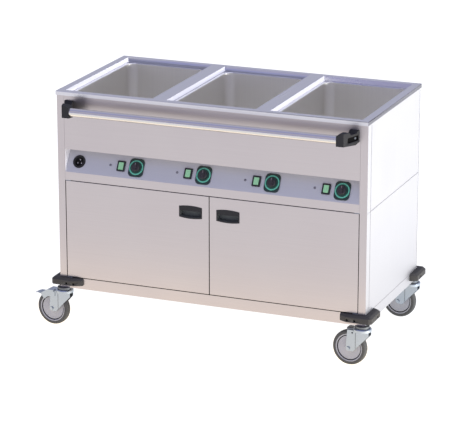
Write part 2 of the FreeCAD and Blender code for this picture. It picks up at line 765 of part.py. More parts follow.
def thermostat():
    """The thermostat behind a dial, with the shaft that carries the knob."""
    y = CONTROL_HEIGHT
    half = THERMOSTAT_SIZE / 2
    back = -CASING_SHEET
    case = box(-half, half, y - half, y + half, back - THERMOSTAT_DEPTH, back)
    tip = DIAL_THICKNESS + KNOB_LIFT + KNOB_BORE_DEPTH - SHAFT_END_GAP
    return fused([case, upright(0, y, back, tip, SHAFT_RADIUS)])


def switch_housing():
    """A rocker switch's frame and the body behind the strip."""
    y = CONTROL_HEIGHT
    wide, high = SWITCH_WIDTH / 2, SWITCH_HEIGHT / 2
    margin = SWITCH_BODY_MARGIN
    rim = box(-wide, wide, y - high, y + high, 0, SWITCH_RIM)
    body = box(
        margin - wide, wide - margin, y - high + margin, y + high - margin,
        -SWITCH_BODY_DEPTH, 0,
    )
    hole_wide = ROCKER_WIDTH / 2 + ROCKER_SIDE_GAP
    hole_high = ROCKER_HEIGHT / 2 + ROCKER_END_GAP
    floor = SWITCH_RIM + ROCKER_PROUD - ROCKER_THICKNESS - ROCKER_END_GAP - ROCKER_PROUD
    hole = box(-hole_wide, hole_wide, y - hole_high, y + hole_high, floor, SWITCH_RIM)
    return fused([rim, body]).cut(hole)


def rocker_pivot_height():
    """The rocker's pivot, above the face of the strip."""
    return SWITCH_RIM + ROCKER_PROUD - ROCKER_THICKNESS


def rocker():
    """The lit rocker, pressed in at its top edge."""
    y = CONTROL_HEIGHT
    top = SWITCH_RIM + ROCKER_PROUD
    half = ROCKER_HEIGHT / 2
    key = box(
        -ROCKER_WIDTH / 2, ROCKER_WIDTH / 2, y - half, y + half,
        top - ROCKER_THICKNESS, top,
    )
    key.rotate(Vec(0, y, rocker_pivot_height()), Vec(1, 0, 0), -ROCKER_TILT)
    return key


def pilot_lamp():
    """A small round signal lamp."""
    y = CONTROL_HEIGHT
    return upright(0, y, -LAMP_DEPTH, LAMP_PROUD, LAMP_RADIUS)


def power_inlet():
    """The round appliance inlet, with its pins standing in the cavity."""
    y = CONTROL_HEIGHT
    rim = upright(0, y, 0, INLET_RIM, INLET_RADIUS)
    body = upright(0, y, -INLET_BODY_DEPTH, 0, INLET_BODY_RADIUS)
    cavity = upright(0, y, -INLET_CAVITY_DEPTH, INLET_RIM, INLET_CAVITY_RADIUS)
    socket = fused([rim, body]).cut(cavity)
    pins = []
    for i in range(INLET_PIN_COUNT):
        angle = math.radians(90 + i * 360 / INLET_PIN_COUNT)
        x = INLET_PIN_CIRCLE * math.cos(angle)
        pin_y = y + INLET_PIN_CIRCLE * math.sin(angle)
        pin_top = INLET_PIN_LENGTH - INLET_CAVITY_DEPTH
        pins.append(upright(x, pin_y, -INLET_CAVITY_DEPTH, pin_top, INLET_PIN_RADIUS))
    return group([on_strip(piece, INLET_PLACE) for piece in [socket] + pins])


def strip_row(shape, offset):
    """One shape set at every control position."""
    return [on_strip(shape, x - offset) for x in DIAL_PLACES]


# ---- cupboard ---------------------------------------------------------------
def cabinet_liner():
    """The heated cupboard's inner box, with its front flange and runners."""
    t = LINER_SHEET
    wide = LINER_HALF_WIDTH
    shell = box(
        -wide - t, wide + t, LINER_FRONT, LINER_BACK + t,
        LINER_FLOOR - t, LINER_CEILING + t,
    )
    flange = box(
        -POST_EDGE, POST_EDGE, LINER_FRONT, LINER_FRONT + t, PLINTH_TOP, BAND_BOTTOM
    )
    skirt = box(-wide - t, wide + t, LINER_BACK, LINER_BACK + t, PLINTH_TOP, LINER_FLOOR)
    hollow = box(-wide, wide, LINER_FRONT, LINER_BACK, LINER_FLOOR, LINER_CEILING)
    runner = box(
        wide - RUNNER_WIDTH, wide, LINER_FRONT + SHELF_FRONT_SETBACK + SHELF_LIP, LINER_BACK,
        SHELF_HEIGHT - RUNNER_THICKNESS, SHELF_HEIGHT,
    )
    liner = fused([shell, flange, skirt]).cut(hollow)
    return fused([liner, runner, mirrored_x(runner)])


def cabinet_shelf():
    """The shelf: a sheet with a folded front lip and slots for the warm air."""
    t = LINER_SHEET
    wide = LINER_HALF_WIDTH - SHELF_SIDE_GAP
    front = LINER_FRONT + SHELF_FRONT_SETBACK
    back = LINER_BACK - SHELF_BACK_GAP
    sheet = box(-wide, wide, front, back, SHELF_HEIGHT, SHELF_HEIGHT + t)
    lip = box(-wide, wide, front, front + t, SHELF_HEIGHT - SHELF_LIP, SHELF_HEIGHT)
    shelf = fused([sheet, lip])
    column_pitch = 2 * wide / SHELF_SLOT_COLUMNS
    row_pitch = (back - front) / (SHELF_SLOT_ROWS + 1)
    slots = []
    for row in range(SHELF_SLOT_ROWS):
        y = front + row_pitch * (row + 1)
        for column in range(SHELF_SLOT_COLUMNS):
            x = column_pitch * (column + 0.5) - wide
            slots.append(box(
                x - SHELF_SLOT_WIDTH / 2, x + SHELF_SLOT_WIDTH / 2,
                y - SHELF_SLOT_DEPTH / 2, y + SHELF_SLOT_DEPTH / 2,
                SHELF_HEIGHT, SHELF_HEIGHT + t,
            ))
    return shelf.cut(slots)


def cabinet_heater():
    """The cupboard's heating box on the back wall, with its outlet slots."""
    t = LINER_SHEET
    half = BLOWER_WIDTH / 2
    front = LINER_BACK - BLOWER_DEPTH
    bottom = LINER_FLOOR + BLOWER_LIFT
    top = bottom + BLOWER_HEIGHT
    case = box(-half, half, front, LINER_BACK, bottom, top)
    hollow = box(t - half, half - t, front + t, LINER_BACK, bottom + t, top - t)
    pitch = BLOWER_WIDTH / BLOWER_SLOTS
    slots = []
    for i in range(BLOWER_SLOTS):
        x = pitch * (i + 0.5) - half
        middle = (bottom + top) / 2
        slots.append(box(
            x - BLOWER_SLOT_WIDTH / 2, x + BLOWER_SLOT_WIDTH / 2, front, front + t,
            middle - BLOWER_SLOT_HEIGHT / 2, middle + BLOWER_SLOT_HEIGHT / 2,
        ))
    return case.cut([hollow] + slots)


def door_seal():
    """The rubber ring on the front flange that the doors close against."""
    inner_x = LINER_HALF_WIDTH + SEAL_INSET
    low = LINER_FLOOR - SEAL_INSET
    high = LINER_CEILING + SEAL_INSET
    front = LINER_FRONT - SEAL_THICKNESS
    w = SEAL_WIDTH
    ring = box(-inner_x - w, inner_x + w, front, LINER_FRONT, low - w, high + w)
    return ring.cut(box(-inner_x, inner_x, front, LINER_FRONT, low, high))


def door_catch(side):
    """A magnet block under the cupboard's ceiling, behind one door."""
    near = CATCH_FROM_SPLIT
    far = near + CATCH_WIDTH
    x0, x1 = (near, far) if side > 0 else (-far, -near)
    front = DOOR_BACK + FACE_CLEARANCE
    back = front + CATCH_DEPTH
    return box(x0, x1, front, back, LINER_CEILING - CATCH_HEIGHT, LINER_CEILING)


# ---- doors, drawn for the right-hand door -----------------------------------
def cup_outline(inset, y):
    """The handle cup's outline: straight ends, bowed top and bottom."""
    left = CUP_FROM_SPLIT + inset
    right = CUP_FROM_SPLIT + CUP_WIDTH - inset
    middle = (left + right) / 2
    half = CUP_SIDE_HEIGHT / 2 - inset
    low, high = CUP_CENTRE_HEIGHT - half, CUP_CENTRE_HEIGHT + half
    crest = half + CUP_BULGE
    top = Part.Arc(
        Vec(left, y, high), Vec(middle, y, CUP_CENTRE_HEIGHT + crest), Vec(right, y, high)
    )
    bottom = Part.Arc(
        Vec(right, y, low), Vec(middle, y, CUP_CENTRE_HEIGHT - crest), Vec(left, y, low)
    )
    wire = Part.Wire([
        Part.makeLine(Vec(left, y, low), Vec(left, y, high)),
        top.toShape(),
        Part.makeLine(Vec(right, y, high), Vec(right, y, low)),
        bottom.toShape(),
    ])
    return Part.Face(wire)


def cup_block(inset, y0, y1):
    """The cup's outline, drawn out from y0 to y1."""
    return cup_outline(inset, y0).extrude(Vec(0, y1 - y0, 0))


def pivot_bore(z0, z1):
    """The hole in a door's edge that a pivot pin turns in."""
    return upright(PIVOT_X, PIVOT_Y, z0, z1, PIVOT_RADIUS + RUNNING_CLEARANCE)


def door_skin():
    """The outer door: a folded tray with two pivot bosses inside."""
    t = DOOR_SHEET
    tray = box(DOOR_INNER, DOOR_OUTER, FRONT, DOOR_BACK, DOOR_BOTTOM, DOOR_TOP)
    hollow = box(
        DOOR_INNER + t, DOOR_OUTER - t, FRONT + t, DOOR_BACK, DOOR_BOTTOM + t, DOOR_TOP - t
    )
    shell = tray.cut(hollow)
    x0, x1 = PIVOT_X - PIVOT_BOSS, DOOR_OUTER - t
    y0, y1 = FRONT + t, DOOR_BACK - DOOR_INNER_FLANGE - FACE_CLEARANCE
    low_boss = box(x0, x1, y0, y1, DOOR_BOTTOM, DOOR_BOTTOM + PIVOT_BOSS_LENGTH)
    high_boss = box(x0, x1, y0, y1, DOOR_TOP - PIVOT_BOSS_LENGTH, DOOR_TOP)
    shell = fused([shell, low_boss, high_boss])
    bore = PIVOT_BOSS_LENGTH - t
    shell = shell.cut(pivot_bore(DOOR_BOTTOM, DOOR_BOTTOM + bore))
    shell = shell.cut(pivot_bore(DOOR_TOP - bore, DOOR_TOP))
    return shell.cut(cup_block(CUP_BORDER - CUP_WALL, FRONT, FRONT + t))


def door_inner():
    """The inner door: a plain pan that closes the back of the tray."""
    t = DOOR_SHEET
    x0, x1 = DOOR_INNER + t, DOOR_OUTER - t
    z0, z1 = DOOR_BOTTOM + t, DOOR_TOP - t
    pan = box(x0, x1, DOOR_BACK - DOOR_INNER_FLANGE, DOOR_BACK, z0, z1)
    front = DOOR_BACK - DOOR_INNER_FLANGE
    return pan.cut(box(x0 + t, x1 - t, front, DOOR_BACK - t, z0 + t, z1 - t))


def door_cup():
    """The moulded handle cup, with a finger lip along its top."""
    border, wall = CUP_BORDER, CUP_WALL
    rim = cup_block(0.0, FRONT - CUP_RIM, FRONT)
    body = cup_block(border - wall, FRONT, FRONT + CUP_DEPTH)
    pocket = cup_block(border, FRONT - CUP_RIM, FRONT + CUP_DEPTH - wall)
    cup = fused([rim, body]).cut(pocket)
    top = CUP_CENTRE_HEIGHT + CUP_SIDE_HEIGHT / 2 + CUP_BULGE
    lip_bottom = CUP_CENTRE_HEIGHT + CUP_SIDE_HEIGHT / 2 - border - CUP_LIP_DROP
    lip = cup_block(border, FRONT - CUP_RIM, FRONT - CUP_RIM + CUP_LIP_THICKNESS)
    left = CUP_FROM_SPLIT
    keep = box(left, left + CUP_WIDTH, FRONT - CUP_RIM, FRONT + CUP_DEPTH, lip_bottom, top)
    return fused([cup, lip.common(keep)])


def door_pivots():
    """The two pivot plates of the right-hand door, each with its pin."""
    x0, x1 = POST_EDGE - PIVOT_PLATE_WIDTH, POST_EDGE
    y0, y1 = FRONT + CASING_SHEET, FRONT + PIVOT_PLATE_DEPTH
    low = box(x0, x1, y0, y1, PLINTH_TOP, PLINTH_TOP + PIVOT_PLATE)
    pin_top = PLINTH_TOP + PIVOT_PLATE + PIVOT_LENGTH
    low_pin = upright(PIVOT_X, PIVOT_Y, PLINTH_TOP, pin_top, PIVOT_RADIUS)
    high = box(x0, x1, y0, y1, BAND_BOTTOM - PIVOT_PLATE, BAND_BOTTOM)
    pin_bottom = BAND_BOTTOM - PIVOT_PLATE - PIVOT_LENGTH
    high_pin = upright(PIVOT_X, PIVOT_Y, pin_bottom, BAND_BOTTOM, PIVOT_RADIUS)
    return [fused([low, low_pin]), fused([high, high_pin])]


# ---- handle -----------------------------------------------------------------
def handle_bar():
    """The push bar: a round tube that ends inside the two brackets."""
    end = BRACKET_INNER + BRACKET_SOCKET
    y = FRONT - HANDLE_REACH
    start_point = Vec(-end, y, HANDLE_HEIGHT)
    end_point = Vec(end, y, HANDLE_HEIGHT)
    tube = rod(start_point, end_point, HANDLE_RADIUS)
    return tube.cut(rod(start_point, end_point, HANDLE_RADIUS - HANDLE_WALL))


def bracket_plan():
    """The right-hand bracket seen from above."""
    front = FRONT - BRACKET_REACH
    arm_start = FRONT - BRACKET_ARM_START
    return [
        (BRACKET_INNER, front),
        (BRACKET_INNER + BRACKET_WIDTH, front),
        (BRACKET_WALL_OUTER, FRONT),
        (BRACKET_WALL_INNER, FRONT),
        (BRACKET_INNER + BRACKET_ARM_INNER, arm_start),
        (BRACKET_INNER, arm_start),
    ]


def bracket_profile():
    """The right-hand bracket seen from the side, with a waist in its top."""
    middle = HANDLE_HEIGHT + BRACKET_RISE
    low, high = middle - BRACKET_HEIGHT / 2, middle + BRACKET_HEIGHT / 2
    tip = FRONT - BRACKET_REACH
    neck, flange = FRONT - BRACKET_NECK_START, FRONT - BRACKET_FLANGE
    return [
        (tip, low),
        (FRONT - BRACKET_BELLY_DEPTH, low - BRACKET_BELLY),
        (FRONT, low + BRACKET_WALL_TAPER),
        (FRONT, high - BRACKET_WALL_TAPER),
        (flange, high - BRACKET_WALL_TAPER),
        (flange - BRACKET_NECK_SLOPE, high - BRACKET_NECK_DROP),
        (neck + BRACKET_NECK_SLOPE, high - BRACKET_NECK_DROP),
        (neck, high),
        (tip, high),
    ]


def bracket_pocket():
    """The screw recess in the bracket's slanting outer side."""
    slant = BRACKET_WALL_OUTER - BRACKET_INNER - BRACKET_WIDTH
    angle = math.degrees(math.atan2(slant, BRACKET_REACH))
    middle = HANDLE_HEIGHT + POCKET_RISE
    pocket = box(
        -POCKET_DEPTH, POCKET_DEPTH, -POCKET_START - POCKET_LENGTH, -POCKET_START,
        -POCKET_HEIGHT / 2, POCKET_HEIGHT / 2,
    )
    pocket = turned(pocket, Vec(0, 0, 1), angle)
    return moved(pocket, BRACKET_WALL_OUTER, FRONT, middle)


def handle_bracket():
    """The moulded bracket that holds the right end of the push bar."""
    plan = prism_z(bracket_plan(), 0, DECK_TOP)
    block = plan.common(prism_x(bracket_profile(), 0, HALF_WIDTH))
    top = HANDLE_HEIGHT + BRACKET_RISE + BRACKET_HEIGHT / 2
    y0, y1 = FRONT - BRACKET_REACH, FRONT - BRACKET_ARM_START
    corner = [
        (BRACKET_INNER, top - BRACKET_CHAMFER_HEIGHT),
        (BRACKET_INNER + BRACKET_CHAMFER_WIDTH, top),
        (BRACKET_INNER, top),
    ]
    block = block.cut(prism_y(corner, y0, y1))
    y = FRONT - HANDLE_REACH
    socket_start = Vec(BRACKET_INNER, y, HANDLE_HEIGHT)
    socket_end = Vec(BRACKET_INNER + BRACKET_SOCKET, y, HANDLE_HEIGHT)
    block = block.cut(rod(socket_start, socket_end, HANDLE_RADIUS))
    return block.cut(bracket_pocket())


# ---- castors, drawn about the swivel axis and trailing towards -X ------------
def place_castor(shape, name):
    """Turns a castor piece to its resting angle and sets it at its corner."""
    x, y = CASTOR_PLACES[name]
    return moved(turned(shape, Vec(0, 0, 1), CASTOR_TURN), x, y)


def castor_head():
    """The fixed upper half of a castor: threaded stem, cap and king pin."""
    pin_bottom = FORK_TOP - FORK_SHEET - HEAD_GAP - KINGPIN_HEAD
    return fused([
        upright(0, 0, HEAD_BOTTOM, BODY_BOTTOM, HEAD_RADIUS),
        upright(0, 0, BODY_BOTTOM, STEM_TOP, STEM_RADIUS),
        upright(0, 0, pin_bottom, HEAD_BOTTOM, KINGPIN_RADIUS),
        upright(0, 0, pin_bottom, pin_bottom + KINGPIN_HEAD, KINGPIN_HEAD_RADIUS),
    ])


def fork_side_outline():
    """A fork leg from the side, as (x, z): upright tail, slanting front."""
    foot = AXLE_HEIGHT - FORK_BOSS
    nose_height = FORK_EDGE_HEIGHT + (FORK_FOLD - FORK_NOSE) * FORK_EDGE_SLOPE
    toe_trail = FORK_FOLD + (FORK_EDGE_HEIGHT - foot) / FORK_EDGE_SLOPE
    diagonal = FORK_BOSS * math.sqrt(0.5)
    low_arc = Part.Arc(
        Vec(-FORK_TAIL, 0, AXLE_HEIGHT),
        Vec(-TRAIL - diagonal, 0, AXLE_HEIGHT - diagonal),
        Vec(-TRAIL, 0, foot),
    )
    return Part.Face(Part.Wire([
        Part.makeLine(Vec(-FORK_NOSE, 0, FORK_TOP), Vec(-FORK_TAIL_TOP, 0, FORK_TOP)),
        Part.makeLine(Vec(-FORK_TAIL_TOP, 0, FORK_TOP), Vec(-FORK_TAIL, 0, AXLE_HEIGHT)),
        low_arc.toShape(),
        Part.makeLine(Vec(-TRAIL, 0, foot), Vec(-toe_trail, 0, foot)),
        Part.makeLine(Vec(-toe_trail, 0, foot), Vec(-FORK_NOSE, 0, nose_height)),
        Part.makeLine(Vec(-FORK_NOSE, 0, nose_height), Vec(-FORK_NOSE, 0, FORK_TOP)),
    ]))


def fork_leg():
    """One pressed leg: flat beside the wheel, bent inwards at the front."""
    nose_inner = FORK_NOSE_HALF - FORK_SHEET
    plan = prism_z([
        (-FORK_TAIL, FORK_OUTER), (-FORK_FOLD, FORK_OUTER), (-FORK_NOSE, FORK_NOSE_HALF),
        (-FORK_NOSE, nose_inner), (-FORK_FOLD, FORK_INNER), (-FORK_TAIL, FORK_INNER),
    ], 0, FORK_TOP)
    side = fork_side_outline().extrude(Vec(0, FORK_OUTER, 0))
    return plan.common(side)


def castor_fork(braked):
    """The swivelling fork: two legs, a top plate and the ball-race crown."""
    leg = fork_leg()
    other_leg = leg.mirror(Vec(0, 0, 0), Vec(0, 1, 0))
    plate_bottom = FORK_TOP - FORK_SHEET
    tail = -FORK_TAIL_TOP
    plate = prism_z([
        (tail, FORK_OUTER), (-FORK_FOLD, FORK_OUTER), (-FORK_NOSE, FORK_NOSE_HALF),
        (-FORK_NOSE, -FORK_NOSE_HALF), (-FORK_FOLD, -FORK_OUTER), (tail, -FORK_OUTER),
    ], plate_bottom, FORK_TOP)
    crown = upright(0, 0, plate_bottom, CROWN_TOP, CROWN_RADIUS)
    rims = [e for e in crown.Edges if e.BoundBox.ZMin > CROWN_TOP - 0.01]
    crown = crown.makeChamfer(CROWN_CHAMFER, rims)
    fork = fused([leg, other_leg, plate, crown])
    fork = fork.cut(upright(0, 0, plate_bottom, CROWN_TOP, KINGPIN_RADIUS + RUNNING_CLEARANCE))
    fork = fork.cut(across(-TRAIL, AXLE_HEIGHT, -FORK_OUTER, FORK_OUTER, AXLE_RADIUS))
    if braked:
        return fused([fork] + pedal_rivets())
    height = RIVET_HOLE_HEIGHT
    return fork.cut(across(-RIVET_HOLE_TRAIL, height, -FORK_OUTER, FORK_OUTER, RIVET_RADIUS))


def pedal_rivets():
    """The two short rivets that the brake pedal turns on."""
    reach = FORK_OUTER + PEDAL_GAP + PEDAL_SHEET
    x, z = -PEDAL_PIVOT_TRAIL, PEDAL_PIVOT_HEIGHT
    near = across(x, z, FORK_INNER, reach, RIVET_RADIUS)
    return [near, near.mirror(Vec(0, 0, 0), Vec(0, 1, 0))]


def castor_axle():
    """The wheel bolt with its two nuts and the sleeves beside the hub."""
    hub_face = TYRE_WIDTH / 2 - RIM_SIDE_INSET - RIM_STEP + FACE_CLEARANCE
    outer = FORK_OUTER + AXLE_NUT_THICKNESS
    pieces = [across(-TRAIL, AXLE_HEIGHT, -outer, outer, AXLE_RADIUS)]
    for side in (-1, 1):
        y0, y1 = sorted((side * hub_face, side * FORK_INNER))
        pieces.append(across(-TRAIL, AXLE_HEIGHT, y0, y1, AXLE_SLEEVE_RADIUS))
        y0, y1 = sorted((side * FORK_OUTER, side * outer))
        nut = hexagon(0, 0, y0, y1, AXLE_NUT_RADIUS)
        nut = turned(nut, Vec(1, 0, 0), -90)
        pieces.append(moved(nut, -TRAIL, 0, AXLE_HEIGHT))
    return fused(pieces)


def about_axle(profile):
    """A ring turned about the wheel's axle from (radius, side) points."""
    points = [Vec(-TRAIL, side, AXLE_HEIGHT + radius) for radius, side in profile]
    section = face_of(points)
    return section.revolve(Vec(-TRAIL, 0, AXLE_HEIGHT), Vec(0, 1, 0), 360)


def castor_wheel():
    """The wheel centre: a dished disc with a raised rim."""
    rim = TYRE_WIDTH / 2 - RIM_SIDE_INSET
    disc = rim - RIM_STEP
    bore = AXLE_RADIUS + RUNNING_CLEARANCE
    near_side = [(bore, disc), (RIM_STEP_INNER, disc), (RIM_STEP_OUTER, rim), (RIM_RADIUS, rim)]
    far_side = [(radius, -side) for radius, side in reversed(near_side)]
    return about_axle(near_side + far_side)


def castor_tyre():
    """The solid rubber tyre, with bevelled shoulders."""
    half = TYRE_WIDTH / 2
    s = TYRE_SHOULDER
    near_side = [(RIM_RADIUS, half - RIM_SIDE_INSET), (WHEEL_RADIUS - s, half), (WHEEL_RADIUS, half - s)]
    far_side = [(radius, -side) for radius, side in reversed(near_side)]
    return about_axle(near_side + far_side)


def pedal_cover():
    """The pedal's folded top, from the pivot back to the toe tread."""
    t = PEDAL_SHEET
    line = [
        (PEDAL_COVER_START, PEDAL_COVER_TOP),
        (PEDAL_SHOULDER, PEDAL_COVER_TOP),
        (PEDAL_DIP_TRAIL, PEDAL_DIP_HEIGHT),
        (PEDAL_TREAD_TRAIL, PEDAL_TREAD_HEIGHT),
        (PEDAL_TIP_TRAIL, PEDAL_TIP_HEIGHT),
    ]
    outline = [(-u, z) for u, z in line] + [(-u, z - t) for u, z in reversed(line)]
    half = FORK_OUTER + PEDAL_GAP + t
    cover = prism_y(outline, -half, half)
    plan = prism_z([
        (-PEDAL_COVER_START, half), (-PEDAL_DIP_TRAIL, half), (-PEDAL_TIP_TRAIL, PEDAL_TIP_HALF),
        (-PEDAL_TIP_TRAIL, -PEDAL_TIP_HALF), (-PEDAL_DIP_TRAIL, -half), (-PEDAL_COVER_START, -half),
    ], 0, CROWN_TOP)
    return cover.common(plan)


def pedal_cheek():
    """One side of the pedal, outside the fork leg, with its pivot hole."""
    y0 = FORK_OUTER + PEDAL_GAP
    y1 = y0 + PEDAL_SHEET
    outline = [
        (PEDAL_COVER_START, PEDAL_COVER_TOP),
        (PEDAL_SHOULDER, PEDAL_COVER_TOP),
        (PEDAL_DIP_TRAIL, PEDAL_DIP_HEIGHT),
        (PEDAL_HEEL_TRAIL, PEDAL_HEEL_HEIGHT),
        (PEDAL_SHOULDER, PEDAL_CHEEK_BOTTOM - PEDAL_CHEEK_STEP),
        (PEDAL_CHEEK_START, PEDAL_CHEEK_BOTTOM),
        (PEDAL_CHEEK_START, PEDAL_CHEEK_TOP),
        (PEDAL_COVER_START, PEDAL_CHEEK_TOP),
    ]
    cheek = prism_y([(-u, z) for u, z in outline], y0, y1)
    hole_radius = RIVET_RADIUS + RUNNING_CLEARANCE
    return cheek.cut(across(-PEDAL_PIVOT_TRAIL, PEDAL_PIVOT_HEIGHT, y0, y1, hole_radius))


def brake_pedal():
    """The foot brake: cover, two cheeks and the shoe over the tyre."""
    cheek = pedal_cheek()
    slope = (PEDAL_COVER_TOP - PEDAL_DIP_HEIGHT) / (PEDAL_DIP_TRAIL - PEDAL_SHOULDER)
    under_end = PEDAL_COVER_TOP - PEDAL_SHEET / 2 - slope * (PEDAL_SHOE_END - PEDAL_SHOULDER)
    shoe = prism_y([
        (-PEDAL_SHOE_START, PEDAL_SHOE_BOTTOM),
        (-PEDAL_SHOE_START, PEDAL_COVER_TOP - PEDAL_SHEET / 2),
        (-PEDAL_SHOE_END, under_end),
        (-PEDAL_SHOE_END, PEDAL_SHOE_BOTTOM),
    ], -PEDAL_SHOE_HALF, PEDAL_SHOE_HALF)
    other = cheek.mirror(Vec(0, 0, 0), Vec(0, 1, 0))
    return fused([pedal_cover(), cheek, other, shoe])


# ---- assembly ---------------------------------------------------------------
def casing_parts():
    """The base, the casing, the deck and the wells."""
    side = side_panel()
    corner = bumper()
    one_well = well()
    parts = {
        "chassis_frame": chassis_frame(),
        "bumper_front_right": corner,
        "bumper_front_left": mirrored_x(corner),
        "bumper_rear_right": mirrored_y(corner),
        "bumper_rear_left": mirrored_y(mirrored_x(corner)),
        "side_panel_right": side,
        "side_panel_left": mirrored_x(side),
        "rear_panel": rear_panel(),
        "front_fascia": front_fascia(),
        "control_panel": control_panel(),
        "top_deck": top_deck(),
        "well_heaters": group([moved(well_heater(), x) for x in WELL_PLACES]),
        "drain_pipework": drain_pipework(),
    }
    for name, x in zip(WELL_NAMES, WELL_PLACES):
        parts[name] = moved(one_well, x)
    return parts


def control_parts():
    """Everything on the tilted strip."""
    parts = {
        "power_inlet": power_inlet(),
        "switch_housings": group(strip_row(switch_housing(), SWITCH_FROM_DIAL)),
        "dial_bezels": group(strip_row(dial_bezel(), 0)),
        "dial_rings": group(strip_row(dial_ring(), 0)),
        "pilot_lamps": group(strip_row(pilot_lamp(), LAMP_FROM_DIAL)),
        "thermostats": group(strip_row(thermostat(), 0)),
    }
    for i in range(CONTROL_COUNT):
        x = DIAL_PLACES[i]
        parts["knob_%d" % (i + 1)] = on_strip(knob(), x)
        parts["rocker_%d" % (i + 1)] = on_strip(rocker(), x - SWITCH_FROM_DIAL)
    return parts


def cupboard_parts():
    """The heated cupboard, its doors and its fittings."""
    skin, pan, cup, pivots = door_skin(), door_inner(), door_cup(), door_pivots()
    return {
        "cabinet_liner": cabinet_liner(),
        "cabinet_shelf": cabinet_shelf(),
        "cabinet_heater": cabinet_heater(),
        "door_seal": door_seal(),
        "door_catches": group([door_catch(-1), door_catch(1)]),
        "door_pivots": group(pivots + [mirrored_x(pivot) for pivot in pivots]),
        "door_right_skin": skin,
        "door_right_inner": pan,
        "door_right_cup": cup,
        "door_left_skin": mirrored_x(skin),
        "door_left_inner": mirrored_x(pan),
        "door_left_cup": mirrored_x(cup),
    }


def handle_parts():
    """The push bar and its two brackets."""
    bracket = handle_bracket()
    return {
        "handle_bar": handle_bar(),
        "handle_bracket_right": bracket,
        "handle_bracket_left": mirrored_x(bracket),
    }


def castor_parts():
    """Four castors, two of them with a brake."""
    parts = {"castor_heads": group([place_castor(castor_head(), n) for n in CASTOR_PLACES])}
    wheel, tyre, axle, pedal = castor_wheel(), castor_tyre(), castor_axle(), brake_pedal()
    for name in CASTOR_PLACES:
        braked = name in BRAKED_CASTORS
        fork = group([castor_fork(braked), axle])
        parts["castor_fork_" + name] = place_castor(fork, name)
        parts["castor_wheel_" + name] = place_castor(wheel, name)
        parts["castor_tyre_" + name] = place_castor(tyre, name)
        if braked:
            parts["brake_pedal_" + name] = place_castor(pedal, name)
    return parts


def all_parts():
    """Every sub-part, drawn about the middle of the deck at floor level."""
    parts = {}
    for make in (casing_parts, control_parts, cupboard_parts, handle_parts, castor_parts):
        parts.update(make())
    return parts


def origin_shift(parts):
    """The move that puts the origin at the bottom centre of the whole box."""
    whole = FreeCAD.BoundBox()
    for shape in parts.values():
        whole.add(shape.optimalBoundingBox(False, False))
    return Vec(-whole.Center.x, -whole.Center.y, -whole.ZMin)


def main():
    """Builds every sub-part and writes one STEP file for each."""
    os.makedirs("parts", exist_ok=True)
    parts = all_parts()
    shift = origin_shift(parts)
    for name, shape in parts.items():
        final = moved(shape, shift.x, shift.y, shift.z)
        final.exportStep(os.path.join("parts", name + ".step"))
    print(len(parts), "sub-parts written, moved by", shift)


if __name__ == "__main__":
    main()
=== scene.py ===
# %% [markdown]
# # A heated serving trolley, dressed for the camera
# The real object is a bain-marie trolley: a folded stainless steel casing with three water wells in
# its deck, a hot cupboard under them, a push bar and four castors. Its solids are already modelled.
# This script loads them, gives every surface its finish, and adds the rounded edges and the small
# fittings that a camera sees. We work in metres, and keep the working drawing's millimetres in mind.

# %% Load the solids
import math
import bmesh
import bpy
from mathutils import Matrix, Vector
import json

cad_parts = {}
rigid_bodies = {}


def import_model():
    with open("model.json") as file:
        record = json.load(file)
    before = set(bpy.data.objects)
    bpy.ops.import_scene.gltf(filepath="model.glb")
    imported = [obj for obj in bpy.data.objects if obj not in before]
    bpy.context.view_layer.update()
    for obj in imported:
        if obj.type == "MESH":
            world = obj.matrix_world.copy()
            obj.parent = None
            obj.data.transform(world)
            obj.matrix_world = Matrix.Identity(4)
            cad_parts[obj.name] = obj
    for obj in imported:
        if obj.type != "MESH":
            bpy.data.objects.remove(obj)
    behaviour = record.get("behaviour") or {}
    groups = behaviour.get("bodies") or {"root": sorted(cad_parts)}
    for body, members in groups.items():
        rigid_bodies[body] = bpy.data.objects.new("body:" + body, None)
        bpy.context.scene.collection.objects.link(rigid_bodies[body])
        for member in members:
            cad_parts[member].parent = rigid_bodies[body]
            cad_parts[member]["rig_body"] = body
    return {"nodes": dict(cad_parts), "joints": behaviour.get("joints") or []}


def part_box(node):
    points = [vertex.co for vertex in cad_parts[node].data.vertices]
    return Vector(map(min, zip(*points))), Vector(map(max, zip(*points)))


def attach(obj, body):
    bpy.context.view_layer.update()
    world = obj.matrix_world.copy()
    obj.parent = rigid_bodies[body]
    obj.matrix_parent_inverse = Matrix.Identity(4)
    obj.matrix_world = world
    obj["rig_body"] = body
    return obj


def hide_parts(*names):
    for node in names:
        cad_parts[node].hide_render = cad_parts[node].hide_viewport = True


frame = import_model()
NODES = frame["nodes"]
JOINTS = {joint["name"]: joint for joint in frame["joints"]}
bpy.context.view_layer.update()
print("solids loaded:", len(NODES))

# %% [markdown]
# ## Sizes and places
# A drawing of sheet metal has a middle line. Here it is the middle of the deck, at floor level, and
# every place below is given from it in millimetres: X to the right, Y to the back, Z up.

# %% The drawing's own coordinates
MM = 0.001
deck_low, deck_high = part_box("top_deck")
MIDDLE = Vector(((deck_low.x + deck_high.x) / 2, (deck_low.y + deck_high.y) / 2, 0.0))


def at(x, y, z):
    """A point of the drawing, in millimetres, as metres in the row's frame."""
    return MIDDLE + Vector((x, y, z)) * MM


def drawn(point):
    """A point of the row's frame as millimetres of the drawing."""
    return (Vector(point) - MIDDLE) / MM


FRONT = drawn(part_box("front_fascia")[0]).y
BODY_HALF = drawn(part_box("side_panel_right")[1]).x
print("front plane at", round(FRONT, 1), "half width", round(BODY_HALF, 1))

# %% [markdown]
# ## The camera
# The photograph was taken from the right of the front, about two metres above the deck, with a very
# long lens: parallel edges hardly meet. The camera goes back to that place, nearly nine metres away.

